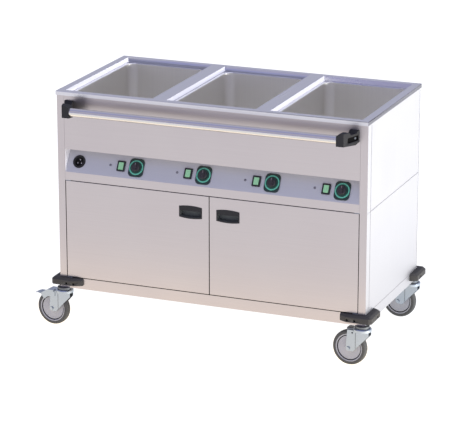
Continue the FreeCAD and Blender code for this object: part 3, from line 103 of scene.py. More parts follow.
# %% Camera
PHOTO_WIDTH = 462
PHOTO_FOCUS_PX = 2506.2
SENSOR = 36.0
CAMERA_PLACE = (3178.5, -7951.7, 3001.0)
LOOKED_AT = (52.7, -212.0, 481.9)

camera_data = bpy.data.cameras.new("photo_camera")
camera_data.sensor_fit = "HORIZONTAL"
camera_data.sensor_width = SENSOR
camera_data.lens = PHOTO_FOCUS_PX * SENSOR / PHOTO_WIDTH
camera_data.clip_end = 100.0
camera = bpy.data.objects.new("photo_camera", camera_data)
bpy.context.scene.collection.objects.link(camera)
camera.location = at(*CAMERA_PLACE)
view = at(*LOOKED_AT) - camera.location
camera.rotation_euler = view.to_track_quat("-Z", "Y").to_euler()
bpy.context.scene.camera = camera
print("lens", round(camera_data.lens, 1), "mm")

# %% [markdown]
# ## Small helpers
# Operators act on whatever is selected, so each step starts by letting go of everything. A finished
# piece has its place in its mesh, as the solids do, so its location, turn and scale are applied.

# %% Selecting and finishing
ops = bpy.ops


def only(piece):
    """Selects one piece alone and makes it active."""
    ops.object.select_all(action="DESELECT")
    piece.select_set(True)
    bpy.context.view_layer.objects.active = piece


def settle(piece, smooth=30.0):
    """Puts a piece's place in its mesh and smooths all but its sharp edges."""
    only(piece)
    ops.object.transform_apply(location=True, rotation=True, scale=True)
    ops.object.shade_smooth_by_angle(angle=math.radians(smooth))
    return piece


def apply_all(piece):
    """Applies every modifier of a piece, first to last."""
    only(piece)
    for modifier in list(piece.modifiers):
        ops.object.modifier_apply(modifier=modifier.name)


def select_faces(piece, wanted):
    """In edit mode, selects the faces for which wanted(face) is true."""
    ops.mesh.select_mode(type="FACE")
    ops.mesh.select_all(action="DESELECT")
    mesh = bmesh.from_edit_mesh(piece.data)
    for face in mesh.faces:
        face.select = wanted(face)
    mesh.select_flush_mode()
    bmesh.update_edit_mesh(piece.data)


# %% [markdown]
# Real sheet metal is folded round a tool, and a moulding has a radius on every edge, so no real edge
# is as sharp as a drawn one. `softened` copies a solid, joins its loose triangles back into whole
# faces, and bevels every edge that turns by more than a given angle. At a slanting corner a bevel can
# reach a little too far, so each point is kept in the solid's own box. Weighted normals then keep the
# large faces looking flat right up to the radius. The copy replaces the solid.

# %% Rounding the edges of a solid
SAME_POINT = 0.00001
SAME_PLANE = math.radians(0.5)


def copied(name, whole_faces=True):
    """A copy of a solid with its doubled points merged, and its triangles joined if wanted."""
    piece = bpy.data.objects.new(name + "_finished", NODES[name].data.copy())
    bpy.context.scene.collection.objects.link(piece)
    only(piece)
    ops.object.mode_set(mode="EDIT")
    ops.mesh.select_all(action="SELECT")
    ops.mesh.remove_doubles(threshold=SAME_POINT)
    if whole_faces:
        ops.mesh.dissolve_limited(angle_limit=SAME_PLANE)
    ops.object.mode_set(mode="OBJECT")
    piece.data.materials.clear()
    return piece


def even_normals(piece, smooth=32.0):
    """Smooths a piece's shallow edges and lets its large faces set the normals."""
    settle(piece, smooth)
    weights = piece.modifiers.new("even_normals", "WEIGHTED_NORMAL")
    weights.keep_sharp = True
    apply_all(piece)


def instead_of(piece, name):
    """Puts a finished copy in its solid's place, riding where the solid rides."""
    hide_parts(name)
    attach(piece, NODES[name]["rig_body"])
    return piece


def softened(name, width, turn=40.0, segments=2, smooth=32.0):
    """A copy of a solid with a radius on its sharp edges."""
    piece = copied(name)
    bevel = piece.modifiers.new("edge_radius", "BEVEL")
    bevel.width = width * MM
    bevel.segments = segments
    bevel.limit_method = "ANGLE"
    bevel.angle_limit = math.radians(turn)
    apply_all(piece)
    low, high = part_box(name)
    for vertex in piece.data.vertices:
        vertex.co = [min(max(value, least), most) for value, least, most in zip(vertex.co, low, high)]
    even_normals(piece, smooth)
    return instead_of(piece, name)


# %% [markdown]
# A large sheet with holes in it is harder: a bevel that meets a face with a hole can tear it. So
# `folded` bisects the outer face along a narrow band inside its rim, makes each band one clean
# rectangle, and bevels only the rim's own edges. Nothing changes near the holes.

# %% Rounding the rim of a folded sheet
TOUCHING = 1e-6
BAND_PLANE = math.radians(1.0)


def folded(name, out, radius):
    """A copy of a tray-shaped sheet, with a radius round the face that looks along out."""
    piece = copied(name, whole_faces=False)
    low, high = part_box(name)
    axis = max(range(3), key=lambda i: abs(out[i]))
    level = high[axis] if out[axis] > 0 else low[axis]
    across = [i for i in range(3) if i != axis]
    band = 3.0 * radius * MM
    only(piece)
    ops.object.mode_set(mode="EDIT")
    for i in across:
        for cut in (low[i] + band, high[i] - band):
            ops.mesh.select_all(action="SELECT")
            ops.mesh.bisect(plane_co=[cut if k == i else 0.0 for k in range(3)],
                            plane_no=[float(k == i) for k in range(3)])

    def beyond(point, i):
        return point[i] < low[i] + band or point[i] > high[i] - band

    def on_face(face):
        return abs(face.calc_center_median()[axis] - level) < TOUCHING

    first, second = across
    select_faces(piece, lambda f: on_face(f) and beyond(f.calc_center_median(), first))
    ops.mesh.dissolve_limited(angle_limit=BAND_PLANE)
    select_faces(piece, lambda f: on_face(f) and beyond(f.calc_center_median(), second)
                 and not beyond(f.calc_center_median(), first))
    ops.mesh.dissolve_limited(angle_limit=BAND_PLANE)

    def at_end(edge, i):
        return any(all(abs(v.co[i] - end) < TOUCHING for v in edge.verts) for end in (low[i], high[i]))

    ops.mesh.select_mode(type="EDGE")
    ops.mesh.select_all(action="DESELECT")
    mesh = bmesh.from_edit_mesh(piece.data)
    for edge in mesh.edges:
        rim = all(abs(v.co[axis] - level) < TOUCHING for v in edge.verts)
        edge.select = rim and (at_end(edge, first) or at_end(edge, second)) or \
            at_end(edge, first) and at_end(edge, second)
    mesh.select_flush_mode()
    bmesh.update_edit_mesh(piece.data)
    ops.mesh.bevel(offset=radius * MM, segments=3, affect="EDGES")
    ops.object.mode_set(mode="OBJECT")
    even_normals(piece)
    return instead_of(piece, name)


# %% [markdown]
# Some pieces carry more than one finish. `zoned` gives each face a finish by where it lies and which
# way it looks, measured on the drawing.

# %% Finishes by zone
def zoned(piece, finishes, choose):
    """Gives a piece several finishes: choose(centre in mm, normal) returns a place in the list."""
    piece.data.materials.clear()
    for material in finishes:
        piece.data.materials.append(material)
    for face in piece.data.polygons:
        face.material_index = choose(drawn(face.center), face.normal)
    return piece


# %% [markdown]
# Round parts are turned. `turned_piece` takes half a section, as points of radius and height in
# millimetres, spins it round the Z axis, and then stands the result on its own axis in the model.

# %% Turning a profile
def turned_piece(name, section, centre, axis, steps=64):
    """Spins a section (radius, height) and sets it at a centre, along an axis."""
    mesh = bpy.data.meshes.new(name)
    points = [(radius * MM, 0.0, height * MM) for radius, height in section]
    mesh.from_pydata(points, [(i, i + 1) for i in range(len(points) - 1)], [])
    piece = bpy.data.objects.new(name, mesh)
    bpy.context.scene.collection.objects.link(piece)
    only(piece)
    ops.object.mode_set(mode="EDIT")
    ops.mesh.select_all(action="SELECT")
    ops.mesh.spin(steps=steps, angle=math.tau, center=(0, 0, 0), axis=(0, 0, 1))
    ops.mesh.select_all(action="SELECT")
    ops.mesh.remove_doubles(threshold=SAME_POINT / 2)
    ops.mesh.normals_make_consistent(inside=False)
    ops.object.mode_set(mode="OBJECT")
    piece.rotation_mode = "QUATERNION"
    piece.rotation_quaternion = Vector((0, 0, 1)).rotation_difference(Vector(axis))
    piece.location = centre
    return settle(piece, 35.0)


def carved(piece, tool):
    """Cuts a tool's shape out of a piece, and throws the tool away."""
    cut = piece.modifiers.new("cut", "BOOLEAN")
    cut.object = tool
    cut.operation = "DIFFERENCE"
    apply_all(piece)
    bpy.data.objects.remove(tool)


def joined(pieces, name):
    """Several pieces of one finish made one."""
    ops.object.select_all(action="DESELECT")
    for piece in pieces:
        piece.select_set(True)
    bpy.context.view_layer.objects.active = pieces[0]
    ops.object.join()
    pieces[0].name = name
    return pieces[0]


# %% [markdown]
# ## Finishes
# A finish starts from what the real surface is and how it was made. Colours are written as on a
# paint card, in sRGB, and one function turns them into the linear light that Blender mixes.

# %% Colour and node helpers
def colour(card):
    """An sRGB hex colour as linear red, green, blue and alpha."""
    channels = [int(card[i:i + 2], 16) / 255 for i in (1, 3, 5)]
    linear = [c / 12.92 if c <= 0.04045 else ((c + 0.055) / 1.055) ** 2.4 for c in channels]
    return (*linear, 1.0)


def shades(card, change):
    """A colour made a little darker, and a little lighter, for an uneven tone."""
    light = colour(card)[:3]
    return [(*[min(1.0, channel * part) for channel in light], 1.0) for part in (1 - change, 1 + change)]


def node(tree, kind, settings=None, links=None):
    """Adds a shader node with its settings and links. Links: input name to output socket."""
    made = tree.nodes.new(kind)
    for key, value in (settings or {}).items():
        if key in made.inputs:
            made.inputs[key].default_value = value
        else:
            setattr(made, key, value)
    for key, socket in (links or {}).items():
        tree.links.new(socket, made.inputs[key])
    return made


def finish(name, base, **settings):
    """A new material whose Principled shader has these plain values."""
    material = bpy.data.materials.new(name)
    material.use_nodes = True
    shader = material.node_tree.nodes["Principled BSDF"]
    shader.inputs["Base Color"].default_value = colour(base)
    for key, value in settings.items():
        shader.inputs[key.replace("_", " ").title().replace("Ior", "IOR")].default_value = value
    return material


# %% [markdown]
# ### Brushed stainless steel
# The casing is 1.4301 stainless sheet, ground in one direction with a fine belt. The belt leaves
# fine parallel scratches: reflections stay sharp along them and spread across them, so large faces
# look evenly bright. The scratches are about 0.05 mm wide, too fine for the picture, so the grain is
# drawn about 1.5 mm wide, and very faint: it only breaks up the tone.

# %% Brushed steel
GRAIN_WIDTH = 1.5
GRAIN_LENGTH = 260.0
GRAIN_DEEP = 0.2
CLOUD_SIZE = 250.0


def brushed(name, base, along, roughness=0.34, depth=0.05, metallic=1.0):
    """Brushed steel whose grain runs along one axis, 'X', 'Y' or 'Z'."""
    material = finish(name, base, metallic=metallic, roughness=roughness)
    tree = material.node_tree
    shader = tree.nodes["Principled BSDF"]
    place = node(tree, "ShaderNodeTexCoord").outputs["Object"]
    scale = [1.0 / (GRAIN_WIDTH * MM)] * 3
    scale["XYZ".index(along)] = 1.0 / (GRAIN_LENGTH * MM)
    stretched = node(tree, "ShaderNodeMapping", {"Scale": scale}, {"Vector": place})
    grain = node(tree, "ShaderNodeTexNoise", {"Scale": 1.0, "Detail": 3.0},
                 {"Vector": stretched.outputs["Vector"]})
    cloud = node(tree, "ShaderNodeTexNoise", {"Scale": 1.0 / (CLOUD_SIZE * MM), "Detail": 1.0},
                 {"Vector": place})
    tone = node(tree, "ShaderNodeMix", {"data_type": "RGBA"}, {"Factor": grain.outputs["Fac"]})
    tone.inputs["A"].default_value, tone.inputs["B"].default_value = shades(base, 0.05)
    tree.links.new(tone.outputs["Result"], shader.inputs["Base Color"])
    spread = node(tree, "ShaderNodeMapRange",
                  {"From Min": 0.3, "From Max": 0.7, "To Min": roughness - 0.03, "To Max": roughness + 0.04},
                  {"Value": cloud.outputs["Fac"]})
    tree.links.new(spread.outputs["Result"], shader.inputs["Roughness"])
    bump = node(tree, "ShaderNodeBump", {"Strength": depth, "Distance": GRAIN_DEEP * MM},
                {"Height": grain.outputs["Fac"]})
    tree.links.new(bump.outputs["Normal"], shader.inputs["Normal"])
    return material


STEEL = "#BFB8B7"
steel_along_x = brushed("brushed_stainless_grain_across", STEEL, "X")
steel_upright = brushed("brushed_stainless_grain_upright", STEEL, "Z")
steel_deck = brushed("brushed_stainless_deck", "#CFCED2", "X", roughness=0.28)
steel_side = brushed("brushed_stainless_side", "#BCBCBE", "Z", roughness=0.48)
print("steel finishes:", steel_along_x.name, steel_upright.name, steel_deck.name)

# %% [markdown]
# The wells are deep drawn from thinner sheet and are more matt than the casing. Their tubs get a
# near-white base, paler than the casing, as painted light. The sides of their stepped rim that face
# right get a painted reflection of the white studio: plain white with no metal in it. The control
# strip carries a thin satin lacquer, so it looks even and hardly mirrors the fold above it. The
# deck's turned-down edge gets a darker grey as painted shade.

# %% Other steel finishes
steel_well = brushed("pickled_stainless_well", "#F4F2E9", "Z", roughness=0.42)
steel_step = brushed("burnished_stainless_step", "#FCFCFF", "Y", roughness=0.45, metallic=0.0)
steel_strip = brushed("lacquered_stainless_strip", "#BFC0C4", "X", roughness=0.42, metallic=0.3)
steel_edge = brushed("mill_stainless_edge", "#64646C", "Y", roughness=0.40)

# %% [markdown]
# ### Plated steel, polished tube and brass
# The castors are pressed from steel and zinc plated: a bluish, slightly cloudy metal. The push bar
# is a polished tube that mirrors its surroundings. The drain pipe is plain brass.

# %% Other metals
def clouded_metal(name, base, roughness, cloud_mm, change=0.08):
    """A metal with soft clouds in its brightness and polish."""
    material = finish(name, base, metallic=1.0, roughness=roughness)
    tree = material.node_tree
    shader = tree.nodes["Principled BSDF"]
    place = node(tree, "ShaderNodeTexCoord").outputs["Object"]
    cloud = node(tree, "ShaderNodeTexNoise", {"Scale": 1.0 / (cloud_mm * MM), "Detail": 3.0},
                 {"Vector": place})
    tone = node(tree, "ShaderNodeMix", {"data_type": "RGBA"}, {"Factor": cloud.outputs["Fac"]})
    tone.inputs["A"].default_value, tone.inputs["B"].default_value = shades(base, change)
    tree.links.new(tone.outputs["Result"], shader.inputs["Base Color"])
    spread = node(tree, "ShaderNodeMapRange", {"To Min": roughness * 0.8, "To Max": roughness * 1.2},
                  {"Value": cloud.outputs["Fac"]})
    tree.links.new(spread.outputs["Result"], shader.inputs["Roughness"])
    return material


zinc = clouded_metal("zinc_plated_steel", "#A6B0BA", 0.38, 12.0)
# Dull zinc for the ball race and screws; the same dark zinc paints the shade of the forks' creases.
zinc_head = clouded_metal("dull_zinc_ball_race", "#6E7378", 0.45, 9.0)
nickel = clouded_metal("nickel_plated_pin", "#E4E2DC", 0.25, 3.0, 0.04)
polished = clouded_metal("polished_stainless_tube", "#D0CDC9", 0.16, 30.0, 0.03)
brass = clouded_metal("drawn_brass_pipe", "#C79A4B", 0.32, 15.0)
print("other metals:", zinc.name, zinc_head.name, nickel.name, polished.name, brass.name)

# %% [markdown]
# ### Plastics and rubber
# Mouldings have a fine eroded grain that keeps them from shining: a small bump from noise about a
# third of a millimetre across, drawn at 0.8 mm so that it shows. Rubber is a little coarser, and the
# lenses and the printed marks are smooth.

# %% Moulded plastics
WEAR_SIZE = 30.0


def moulded(name, base, roughness, grain_mm=0.8, depth=0.12, change=0.10, **settings):
    """A moulded plastic or rubber with an eroded grain and slightly uneven tone."""
    material = finish(name, base, roughness=roughness, **settings)
    tree = material.node_tree
    shader = tree.nodes["Principled BSDF"]
    place = node(tree, "ShaderNodeTexCoord").outputs["Object"]
    grain = node(tree, "ShaderNodeTexNoise", {"Scale": 1.0 / (grain_mm * MM), "Detail": 2.0},
                 {"Vector": place})
    wear = node(tree, "ShaderNodeTexNoise", {"Scale": 1.0 / (WEAR_SIZE * MM), "Detail": 4.0},
                {"Vector": place})
    tone = node(tree, "ShaderNodeMix", {"data_type": "RGBA"}, {"Factor": wear.outputs["Fac"]})
    tone.inputs["A"].default_value, tone.inputs["B"].default_value = shades(base, change)
    tree.links.new(tone.outputs["Result"], shader.inputs["Base Color"])
    bump = node(tree, "ShaderNodeBump", {"Strength": depth, "Distance": GRAIN_DEEP * MM},
                {"Height": grain.outputs["Fac"]})
    tree.links.new(bump.outputs["Normal"], shader.inputs["Normal"])
    return material


black_abs = moulded("black_moulded_abs", "#333334", 0.55, specular_ior_level=0.08)
# Near-black painted shade for the inside of recesses and sunk holes.
black_pocket = moulded("black_abs_in_shade", "#0B0B0C", 0.7, specular_ior_level=0.05)
# Painted light: the inside of a door cup is a lighter grey that lifts the shade in it.
cup_inside = moulded("black_abs_cup_inside", "#5E625F", 0.6, specular_ior_level=0.1)
black_gloss = moulded("black_gloss_nylon", "#1A1D1E", 0.30, depth=0.05)
buffer_grey = moulded("dark_grey_polyethylene", "#484745", 0.6, specular_ior_level=0.1)
tyre_grey = moulded("grey_elastic_rubber", "#4C4D4B", 0.75, grain_mm=1.2, depth=0.2)
wheel_grey = moulded("light_grey_polyamide", "#A6A8AD", 0.42, grain_mm=1.5)
# Black silicone for the door seal; the same black paints the shade in the door gaps and the wheels' ring
# groove.
seal_black = moulded("black_silicone_seal", "#1C1A1A", 0.7)
ring_green = moulded("green_scale_ring", "#5FBDA0", 0.30, depth=0.03)
skirt_green = moulded("dark_green_knob_skirt", "#0E4034", 0.28, depth=0.03)
plate_green = moulded("green_black_dial_plate", "#16302C", 0.36, depth=0.05)
knob_black = moulded("black_knob_nylon", "#2A282C", 0.48)
mark_grey = moulded("grey_pointer_print", "#8E8288", 0.5, depth=0.0)
lamp_dark = moulded("smoked_signal_lens", "#74747C", 0.25, depth=0.0)
# Painted shade: the grey of the seam lines on the side sheets.
seam_grey = moulded("grey_joint_sealant", "#8C8C8E", 0.7, specular_ior_level=0.03)
ceramic = moulded("grey_ceramic_terminal", "#D8D4CC", 0.5)
print("plastics and rubber ready")

# %% [markdown]
# The rockers are lit from inside, so their green lens is a little brighter than its colour alone.
# The lens of such a switch has fine upright ribs inside, 1.6 mm apart. A wave pattern draws them about
# three times as coarse, so that they show. At scale 1 the pattern repeats every tau / 20.

# %% Lit lens
RIB_DRAWN = 5.0265
rocker_green = finish("lit_green_lens", "#86BF93", roughness=0.28)
tree = rocker_green.node_tree
lens_shader = tree.nodes["Principled BSDF"]
place = node(tree, "ShaderNodeTexCoord").outputs["Object"]
ribs = node(tree, "ShaderNodeTexWave", {"Scale": math.tau / 20 / (RIB_DRAWN * MM), "bands_direction": "X"},
            {"Vector": place})
tone = node(tree, "ShaderNodeMix", {"data_type": "RGBA"}, {"Factor": ribs.outputs["Fac"]})
tone.inputs["A"].default_value = colour("#7FB98D")
tone.inputs["B"].default_value = colour("#97CDA0")
tree.links.new(tone.outputs["Result"], lens_shader.inputs["Base Color"])
lens_shader.inputs["Emission Color"].default_value = colour("#9BD0A0")
lens_shader.inputs["Emission Strength"].default_value = 0.12
print("lens ribs drawn every", round(RIB_DRAWN, 1), "mm")

# %% [markdown]
# ## The casing
# The solids of the casing already have their true shape. They keep it, and get steel with the grain
# in the direction in which each sheet was ground: across the front, upright on the sides.

# %% Steel on the casing
def coat(name, material):
    """Gives a solid, or a finished piece, one material."""
    piece = NODES[name] if isinstance(name, str) else name
    piece.data.materials.clear()
    piece.data.materials.append(material)
    return piece


for name in ("front_fascia", "rear_panel", "cabinet_liner", "cabinet_shelf",
             "cabinet_heater", "door_left_inner", "door_right_inner"):
    coat(name, steel_along_x)
for name, material in (("door_pivots", zinc), ("well_heaters", zinc), ("drain_pipework", brass),
                       ("thermostats", ceramic), ("castor_heads", zinc_head),
                       ("door_seal", seal_black), ("door_catches", black_abs)):
    coat(name, material)


def side_zone(centre, normal):
    """0 the posts and the front of the base, 1 what looks to the sides."""
    return 1 if abs(normal.x) > 0.7 and abs(centre.x) > BODY_HALF - 3.0 else 0


for name in ("side_panel_left", "side_panel_right"):
    zoned(NODES[name], [steel_upright, steel_side], side_zone)
zoned(NODES["chassis_frame"], [steel_along_x, steel_side], side_zone)
print("casing solids coated")

# %% [markdown]
# The control strip keeps its shape too, but three finishes meet on it: the lacquered strip, the
# ground band below, and the cheeks at its ends, which get a painted white reflection.

# %% Control strip
strip = copied("control_panel")
even_normals(strip, 20.0)
instead_of(strip, "control_panel")


def strip_zone(centre, normal):
    """0 the band and the folds, 1 the tilted strip, 2 the cheeks, painted white as a reflection."""
    if normal.z > 0.4 and normal.y < -0.8:
        return 1
    return 2 if abs(normal.x) > 0.9 and centre.y > FRONT + 1.0 else 0


zoned(strip, [steel_along_x, steel_strip, steel_step], strip_zone)
print("control strip:", len(strip.data.polygons), "faces")

# %% [markdown]
# The deck is one sheet, folded down all round. Its rim is rounded by a little over a millimetre, and
# that radius catches a thin bright line. The folds at the two ends get a darker grey as painted shade.

# %% Deck
DECK_RADIUS = 1.4
deck = folded("top_deck", (0, 0, 1), DECK_RADIUS)
DECK_HALF = drawn(deck_high).x


def deck_zone(centre, normal):
    """0 the deck, 1 the turned-down edge at the two ends, a darker grey as painted shade."""
    return 1 if abs(normal.x) > 0.5 and abs(centre.x) > DECK_HALF - 1.0 else 0


zoned(deck, [steel_deck, steel_edge], deck_zone)
print("deck:", round(2 * DECK_HALF), "mm wide")

# %% [markdown]
# Each well is pressed in one piece: a shallow stepped rim that holds the food container, a narrow
# ledge, a rolled edge and the deep tub, whose near-white base is painted light. The step's sides
# that face right, and the rolled edge there, get a painted white reflection.

# %% Wells
LEDGE, ROLLED_EDGE = 855.0, 2.6


def well_zone(centre, normal):
    """0 the tub, 1 the ledge and rim, 2 the side of the step and of its edge, painted white as a reflection.
    """
    if centre.z <= LEDGE - ROLLED_EDGE:
        return 0
    step = centre.z > LEDGE + 0.5 and normal.x > 0.5
    rolled = normal.x > 0.2 and 0.1 < normal.z < 0.9
    return 2 if step or rolled else 1


for name in ("well_left", "well_centre", "well_right"):
    well = copied(name)
    even_normals(well)
    instead_of(well, name)
    zoned(well, [steel_well, steel_deck, steel_step], well_zone)
print("wells finished, ledge at", LEDGE, "mm")

# %% [markdown]
# ## Doors
# A door is a folded tray. Its four narrow sides are painted black as shade in the gap round it, so
# the gap reads as a dark line. Thin black strips on the post and the sill paint the same shade.

# %% Door trays
DOOR_RADIUS = 0.9


def door_zone(centre, normal):
    """0 the face, 1 the four narrow sides, painted black as shade in the gap."""
    return 1 if abs(normal.y) < 0.93 and centre.y > FRONT + 0.1 else 0


for name in ("door_left_skin", "door_right_skin"):
    door = folded(name, (0, -1, 0), DOOR_RADIUS)
    zoned(door, [steel_along_x, seal_black], door_zone)

door_low, door_high = (drawn(corner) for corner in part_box("door_left_skin"))
hinge_side = drawn(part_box("door_right_skin")[1]).x
POST_EDGE = drawn(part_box("cabinet_liner")[1]).x
SILL = drawn(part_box("rear_panel")[0]).z
print("door gaps:", round(POST_EDGE - hinge_side, 2), round(door_low.z - SILL, 2), "mm")

# %% [markdown]
# The painted shade on the post and the sill is a thin black strip with worn edges. `block` makes it,
# and the other small square pieces, from a cube that is stretched between two corners and then bevelled.

# %% Painted shade in the door opening
def block(name, low, high, worn=0.12):
    """A small block between two corners in millimetres, its edges a little worn."""
    low, high = Vector(low), Vector(high)
    ops.object.select_all(action="DESELECT")
    ops.mesh.primitive_cube_add(size=1.0, location=(low + high) / 2 * MM)
    piece = bpy.context.object
    piece.name = name
    piece.scale = (high - low) * MM
    only(piece)
    ops.object.transform_apply(location=True, rotation=True, scale=True)
    bevel = piece.modifiers.new("worn_edge", "BEVEL")
    bevel.width = worn * MM
    bevel.segments = 2
    apply_all(piece)
    return settle(piece)


def drawn_block(name, low, high, worn=0.12):
    """The same, between two corners of the drawing."""
    piece = block(name, low, high, worn)
    piece.data.transform(Matrix.Translation(MIDDLE))
    return piece


EDGING, EDGING_FRONT, EDGING_BACK = 0.5, FRONT + 1.6, FRONT + 24.0
PLATE_ROOM, POST_ROOM = 22.0, 6.0
edging = [
    drawn_block("edging_post", (-POST_EDGE, EDGING_FRONT, door_low.z + POST_ROOM),
                (EDGING - POST_EDGE, EDGING_BACK, door_high.z - POST_ROOM)),
    drawn_block("edging_sill", (PLATE_ROOM - POST_EDGE, EDGING_FRONT, SILL),
                (POST_EDGE - PLATE_ROOM, EDGING_BACK, SILL + EDGING)),
]
door_edging = joined(edging, "door_frame_edging")
even_normals(door_edging)
coat(door_edging, seal_black)
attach(door_edging, "trolley")
print("edging:", EDGING, "mm thick")

# %% [markdown]
# ## Mouldings
# The bar's brackets, the corner buffers, the door cups and the switch frames are moulded in black
# plastic, with a radius on every edge.

# %% Door cups
def cup_zone(centre, normal):
    """0 the lip, 1 the inside, a lighter grey as painted light that lifts its shade."""
    return 1 if centre.y > FRONT + 3.0 else 0


for name in ("door_left_cup", "door_right_cup"):
    zoned(softened(name, 0.5, turn=50.0), [black_abs, cup_inside], cup_zone)
print("door cups softened")

# %% [markdown]
# Each bracket has a long recess in its slanting outer side, with the fixing screw at its back end. A
# block with round ends, turned to lie along that side, is cut out of the moulding. The inside of the
# recess is painted near-black as shade.

# %% Brackets with their screw recess
BRACKET_RADIUS = 2.0
BRACKET_OUTER = Vector((546.0, FRONT, 813.5))
SLANT = math.atan2(28.0, 84.0)
RECESS_LENGTH, RECESS_HEIGHT, RECESS_DEPTH = 58.0, 18.0, 5.0
RECESS_START = 8.0
SCREW_BACK = 19.0
SCREW = [(0.0, 0.4), (2.4, 0.4), (2.8, 1.4), (4.0, 1.5), (4.8, 0.8), (4.8, 0.1), (0.0, 0.1)]


def bracket(name, hand):
    """A bracket with its recess: hand is 1 on the right and -1 on the left."""
    piece = softened(name, BRACKET_RADIUS, segments=3)
    lie = Matrix.Rotation(-hand * SLANT, 4, "Z")
    corner = at(hand * BRACKET_OUTER.x, BRACKET_OUTER.y, BRACKET_OUTER.z)
    tool = block("recess_tool", (-RECESS_DEPTH, -RECESS_START - RECESS_LENGTH, -RECESS_HEIGHT / 2),
                 (RECESS_DEPTH, -RECESS_START, RECESS_HEIGHT / 2), worn=4.0)
    tool.data.transform(Matrix.Translation(corner) @ lie)
    carved(piece, tool)
    outward = lie.to_3x3() @ Vector((hand, 0, 0))
    face_at = outward.dot(drawn(corner))

    def zone(centre, normal):
        """0 the moulding, 1 the inside of the recess, painted near-black as shade."""
        sunk = face_at - outward.dot(centre)
        level = abs(centre.z - BRACKET_OUTER.z) < RECESS_HEIGHT / 2 + 0.1
        return 1 if 0.3 < sunk < RECESS_DEPTH + 0.3 and level else 0

    zoned(piece, [black_abs, black_pocket], zone)
    seat = corner + lie.to_3x3() @ Vector((-hand * RECESS_DEPTH, -SCREW_BACK, 0)) * MM
    screw = turned_piece(name.replace("handle_", "") + "_screw", SCREW, seat, outward, steps=28)
    coat(screw, zinc_head)
    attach(screw, "trolley")


bracket("handle_bracket_right", 1)
bracket("handle_bracket_left", -1)
print("brackets: recess", RECESS_LENGTH, "x", RECESS_HEIGHT, "x", RECESS_DEPTH, "mm")

# %% [markdown]
# Each buffer is held by three screws in sunk holes, two in the long wing and one in the short one.
# The holes are bored into the rounded moulding, and a plug closes each, a little below the face.
# The plugs' near-black is their own black and painted shade of the sunk hole.

# %% Buffers with their screw holes
CORNERS = ("front_left", "front_right", "rear_left", "rear_right")
BUFFER_RADIUS = 2.0
HOLE = [(0.0, 2.0), (4.1, 2.0), (4.1, -3.4), (0.0, -3.4)]
PLUG = [(0.0, -0.9), (3.2, -0.9), (3.9, -1.3), (3.9, -3.3), (0.0, -3.3)]
HOLE_HEIGHT, WING_HOLE_BACK = 169.0, 72.0
HOLE_INSETS = (33.0, 60.0)
plugs = []
for corner in CORNERS:
    low, high = (drawn(point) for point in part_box("bumper_" + corner))
    side = 1 if "right" in corner else -1
    end_y, toward = (low.y, -1) if "front" in corner else (high.y, 1)
    end_x = high.x if side > 0 else low.x
    seats = [(at(side * (BODY_HALF - inset), end_y, HOLE_HEIGHT), (0, toward, 0)) for inset in HOLE_INSETS]
    seats.append((at(end_x, end_y - toward * WING_HOLE_BACK, HOLE_HEIGHT), (side, 0, 0)))
    buffer = softened("bumper_" + corner, BUFFER_RADIUS, segments=3)
    for seat, way in seats:
        carved(buffer, turned_piece("hole_tool", HOLE, seat, way, 20))
        plugs.append(turned_piece("plug", PLUG, seat, way, 20))
    coat(buffer, buffer_grey)
print("buffers:", len(CORNERS), "with", len(plugs), "screw plugs")
screw_plugs = coat(joined(plugs, "buffer_screw_plugs"), black_pocket)
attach(screw_plugs, "trolley")

# %% [markdown]
# Each side sheet is welded up from an edge frame and two flat panels. Its joints show as thin grey
# lines of painted shade: upright ones near both ends, and two across.

# %% Joints of the side sheets
BEAD_PROUD, BEAD_SUNK = 0.3, 0.3
BEAD_UPRIGHT, BEAD_HIGH, BEAD_LOW = 3.0, 1.6, 2.2
SEAM_FRONT, SEAM_BACK = -248.3, 277.0
SEAM_TOP, SEAM_HIGH, SEAM_LOW = 850.0, 548.0, 186.0
beads = []
for side in (-1, 1):
    x0, x1 = sorted((side * (BODY_HALF - BEAD_SUNK), side * (BODY_HALF + BEAD_PROUD)))
    for y in (SEAM_FRONT, SEAM_BACK):
        half = BEAD_UPRIGHT / 2
        beads.append(drawn_block("bead", (x0, y - half, SEAM_LOW), (x1, y + half, SEAM_TOP)))
    for z, width in ((SEAM_HIGH, BEAD_HIGH), (SEAM_LOW, BEAD_LOW)):
        beads.append(drawn_block("bead", (x0, SEAM_FRONT, z - width / 2), (x1, SEAM_BACK, z + width / 2)))
print("sealed joints:", len(beads))
side_joints = coat(joined(beads, "side_joints"), seam_grey)
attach(side_joints, "trolley")

# %% [markdown]
# ## The push bar
# A polished tube 29 mm across with a 1.5 mm wall. Its section is turned, with a small chamfer at
# each end, and 72 sides keep it round in the picture.

# %% Push bar
bar_low, bar_high = (drawn(corner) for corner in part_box("handle_bar"))
bar_radius = (bar_high.z - bar_low.z) / 2
bar_middle = (bar_low + bar_high) / 2
half_length = (bar_high.x - bar_low.x) / 2
BAR_WALL, BAR_CHAMFER = 1.5, 0.3
bar_end = [(bar_radius - BAR_WALL, half_length), (bar_radius - BAR_CHAMFER, half_length),
           (bar_radius, half_length - BAR_CHAMFER)]
other_end = [(radius, -along) for radius, along in bar_end]
push_bar = turned_piece("push_bar", other_end + bar_end[::-1] + other_end[:1], at(*bar_middle),
                        (1, 0, 0), steps=72)
coat(push_bar, polished)
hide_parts("handle_bar")
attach(push_bar, "trolley")
print("push bar:", round(2 * bar_radius, 1), "mm across,", round(2 * half_length), "mm long")

# %% [markdown]
# ## Controls
# Everything on the tilted strip is placed on it by a spot along X and a height square to it, so the
# strip's own directions come first. Flat parts with round corners are drawn as one outline, with or
# without a hole, and raised.

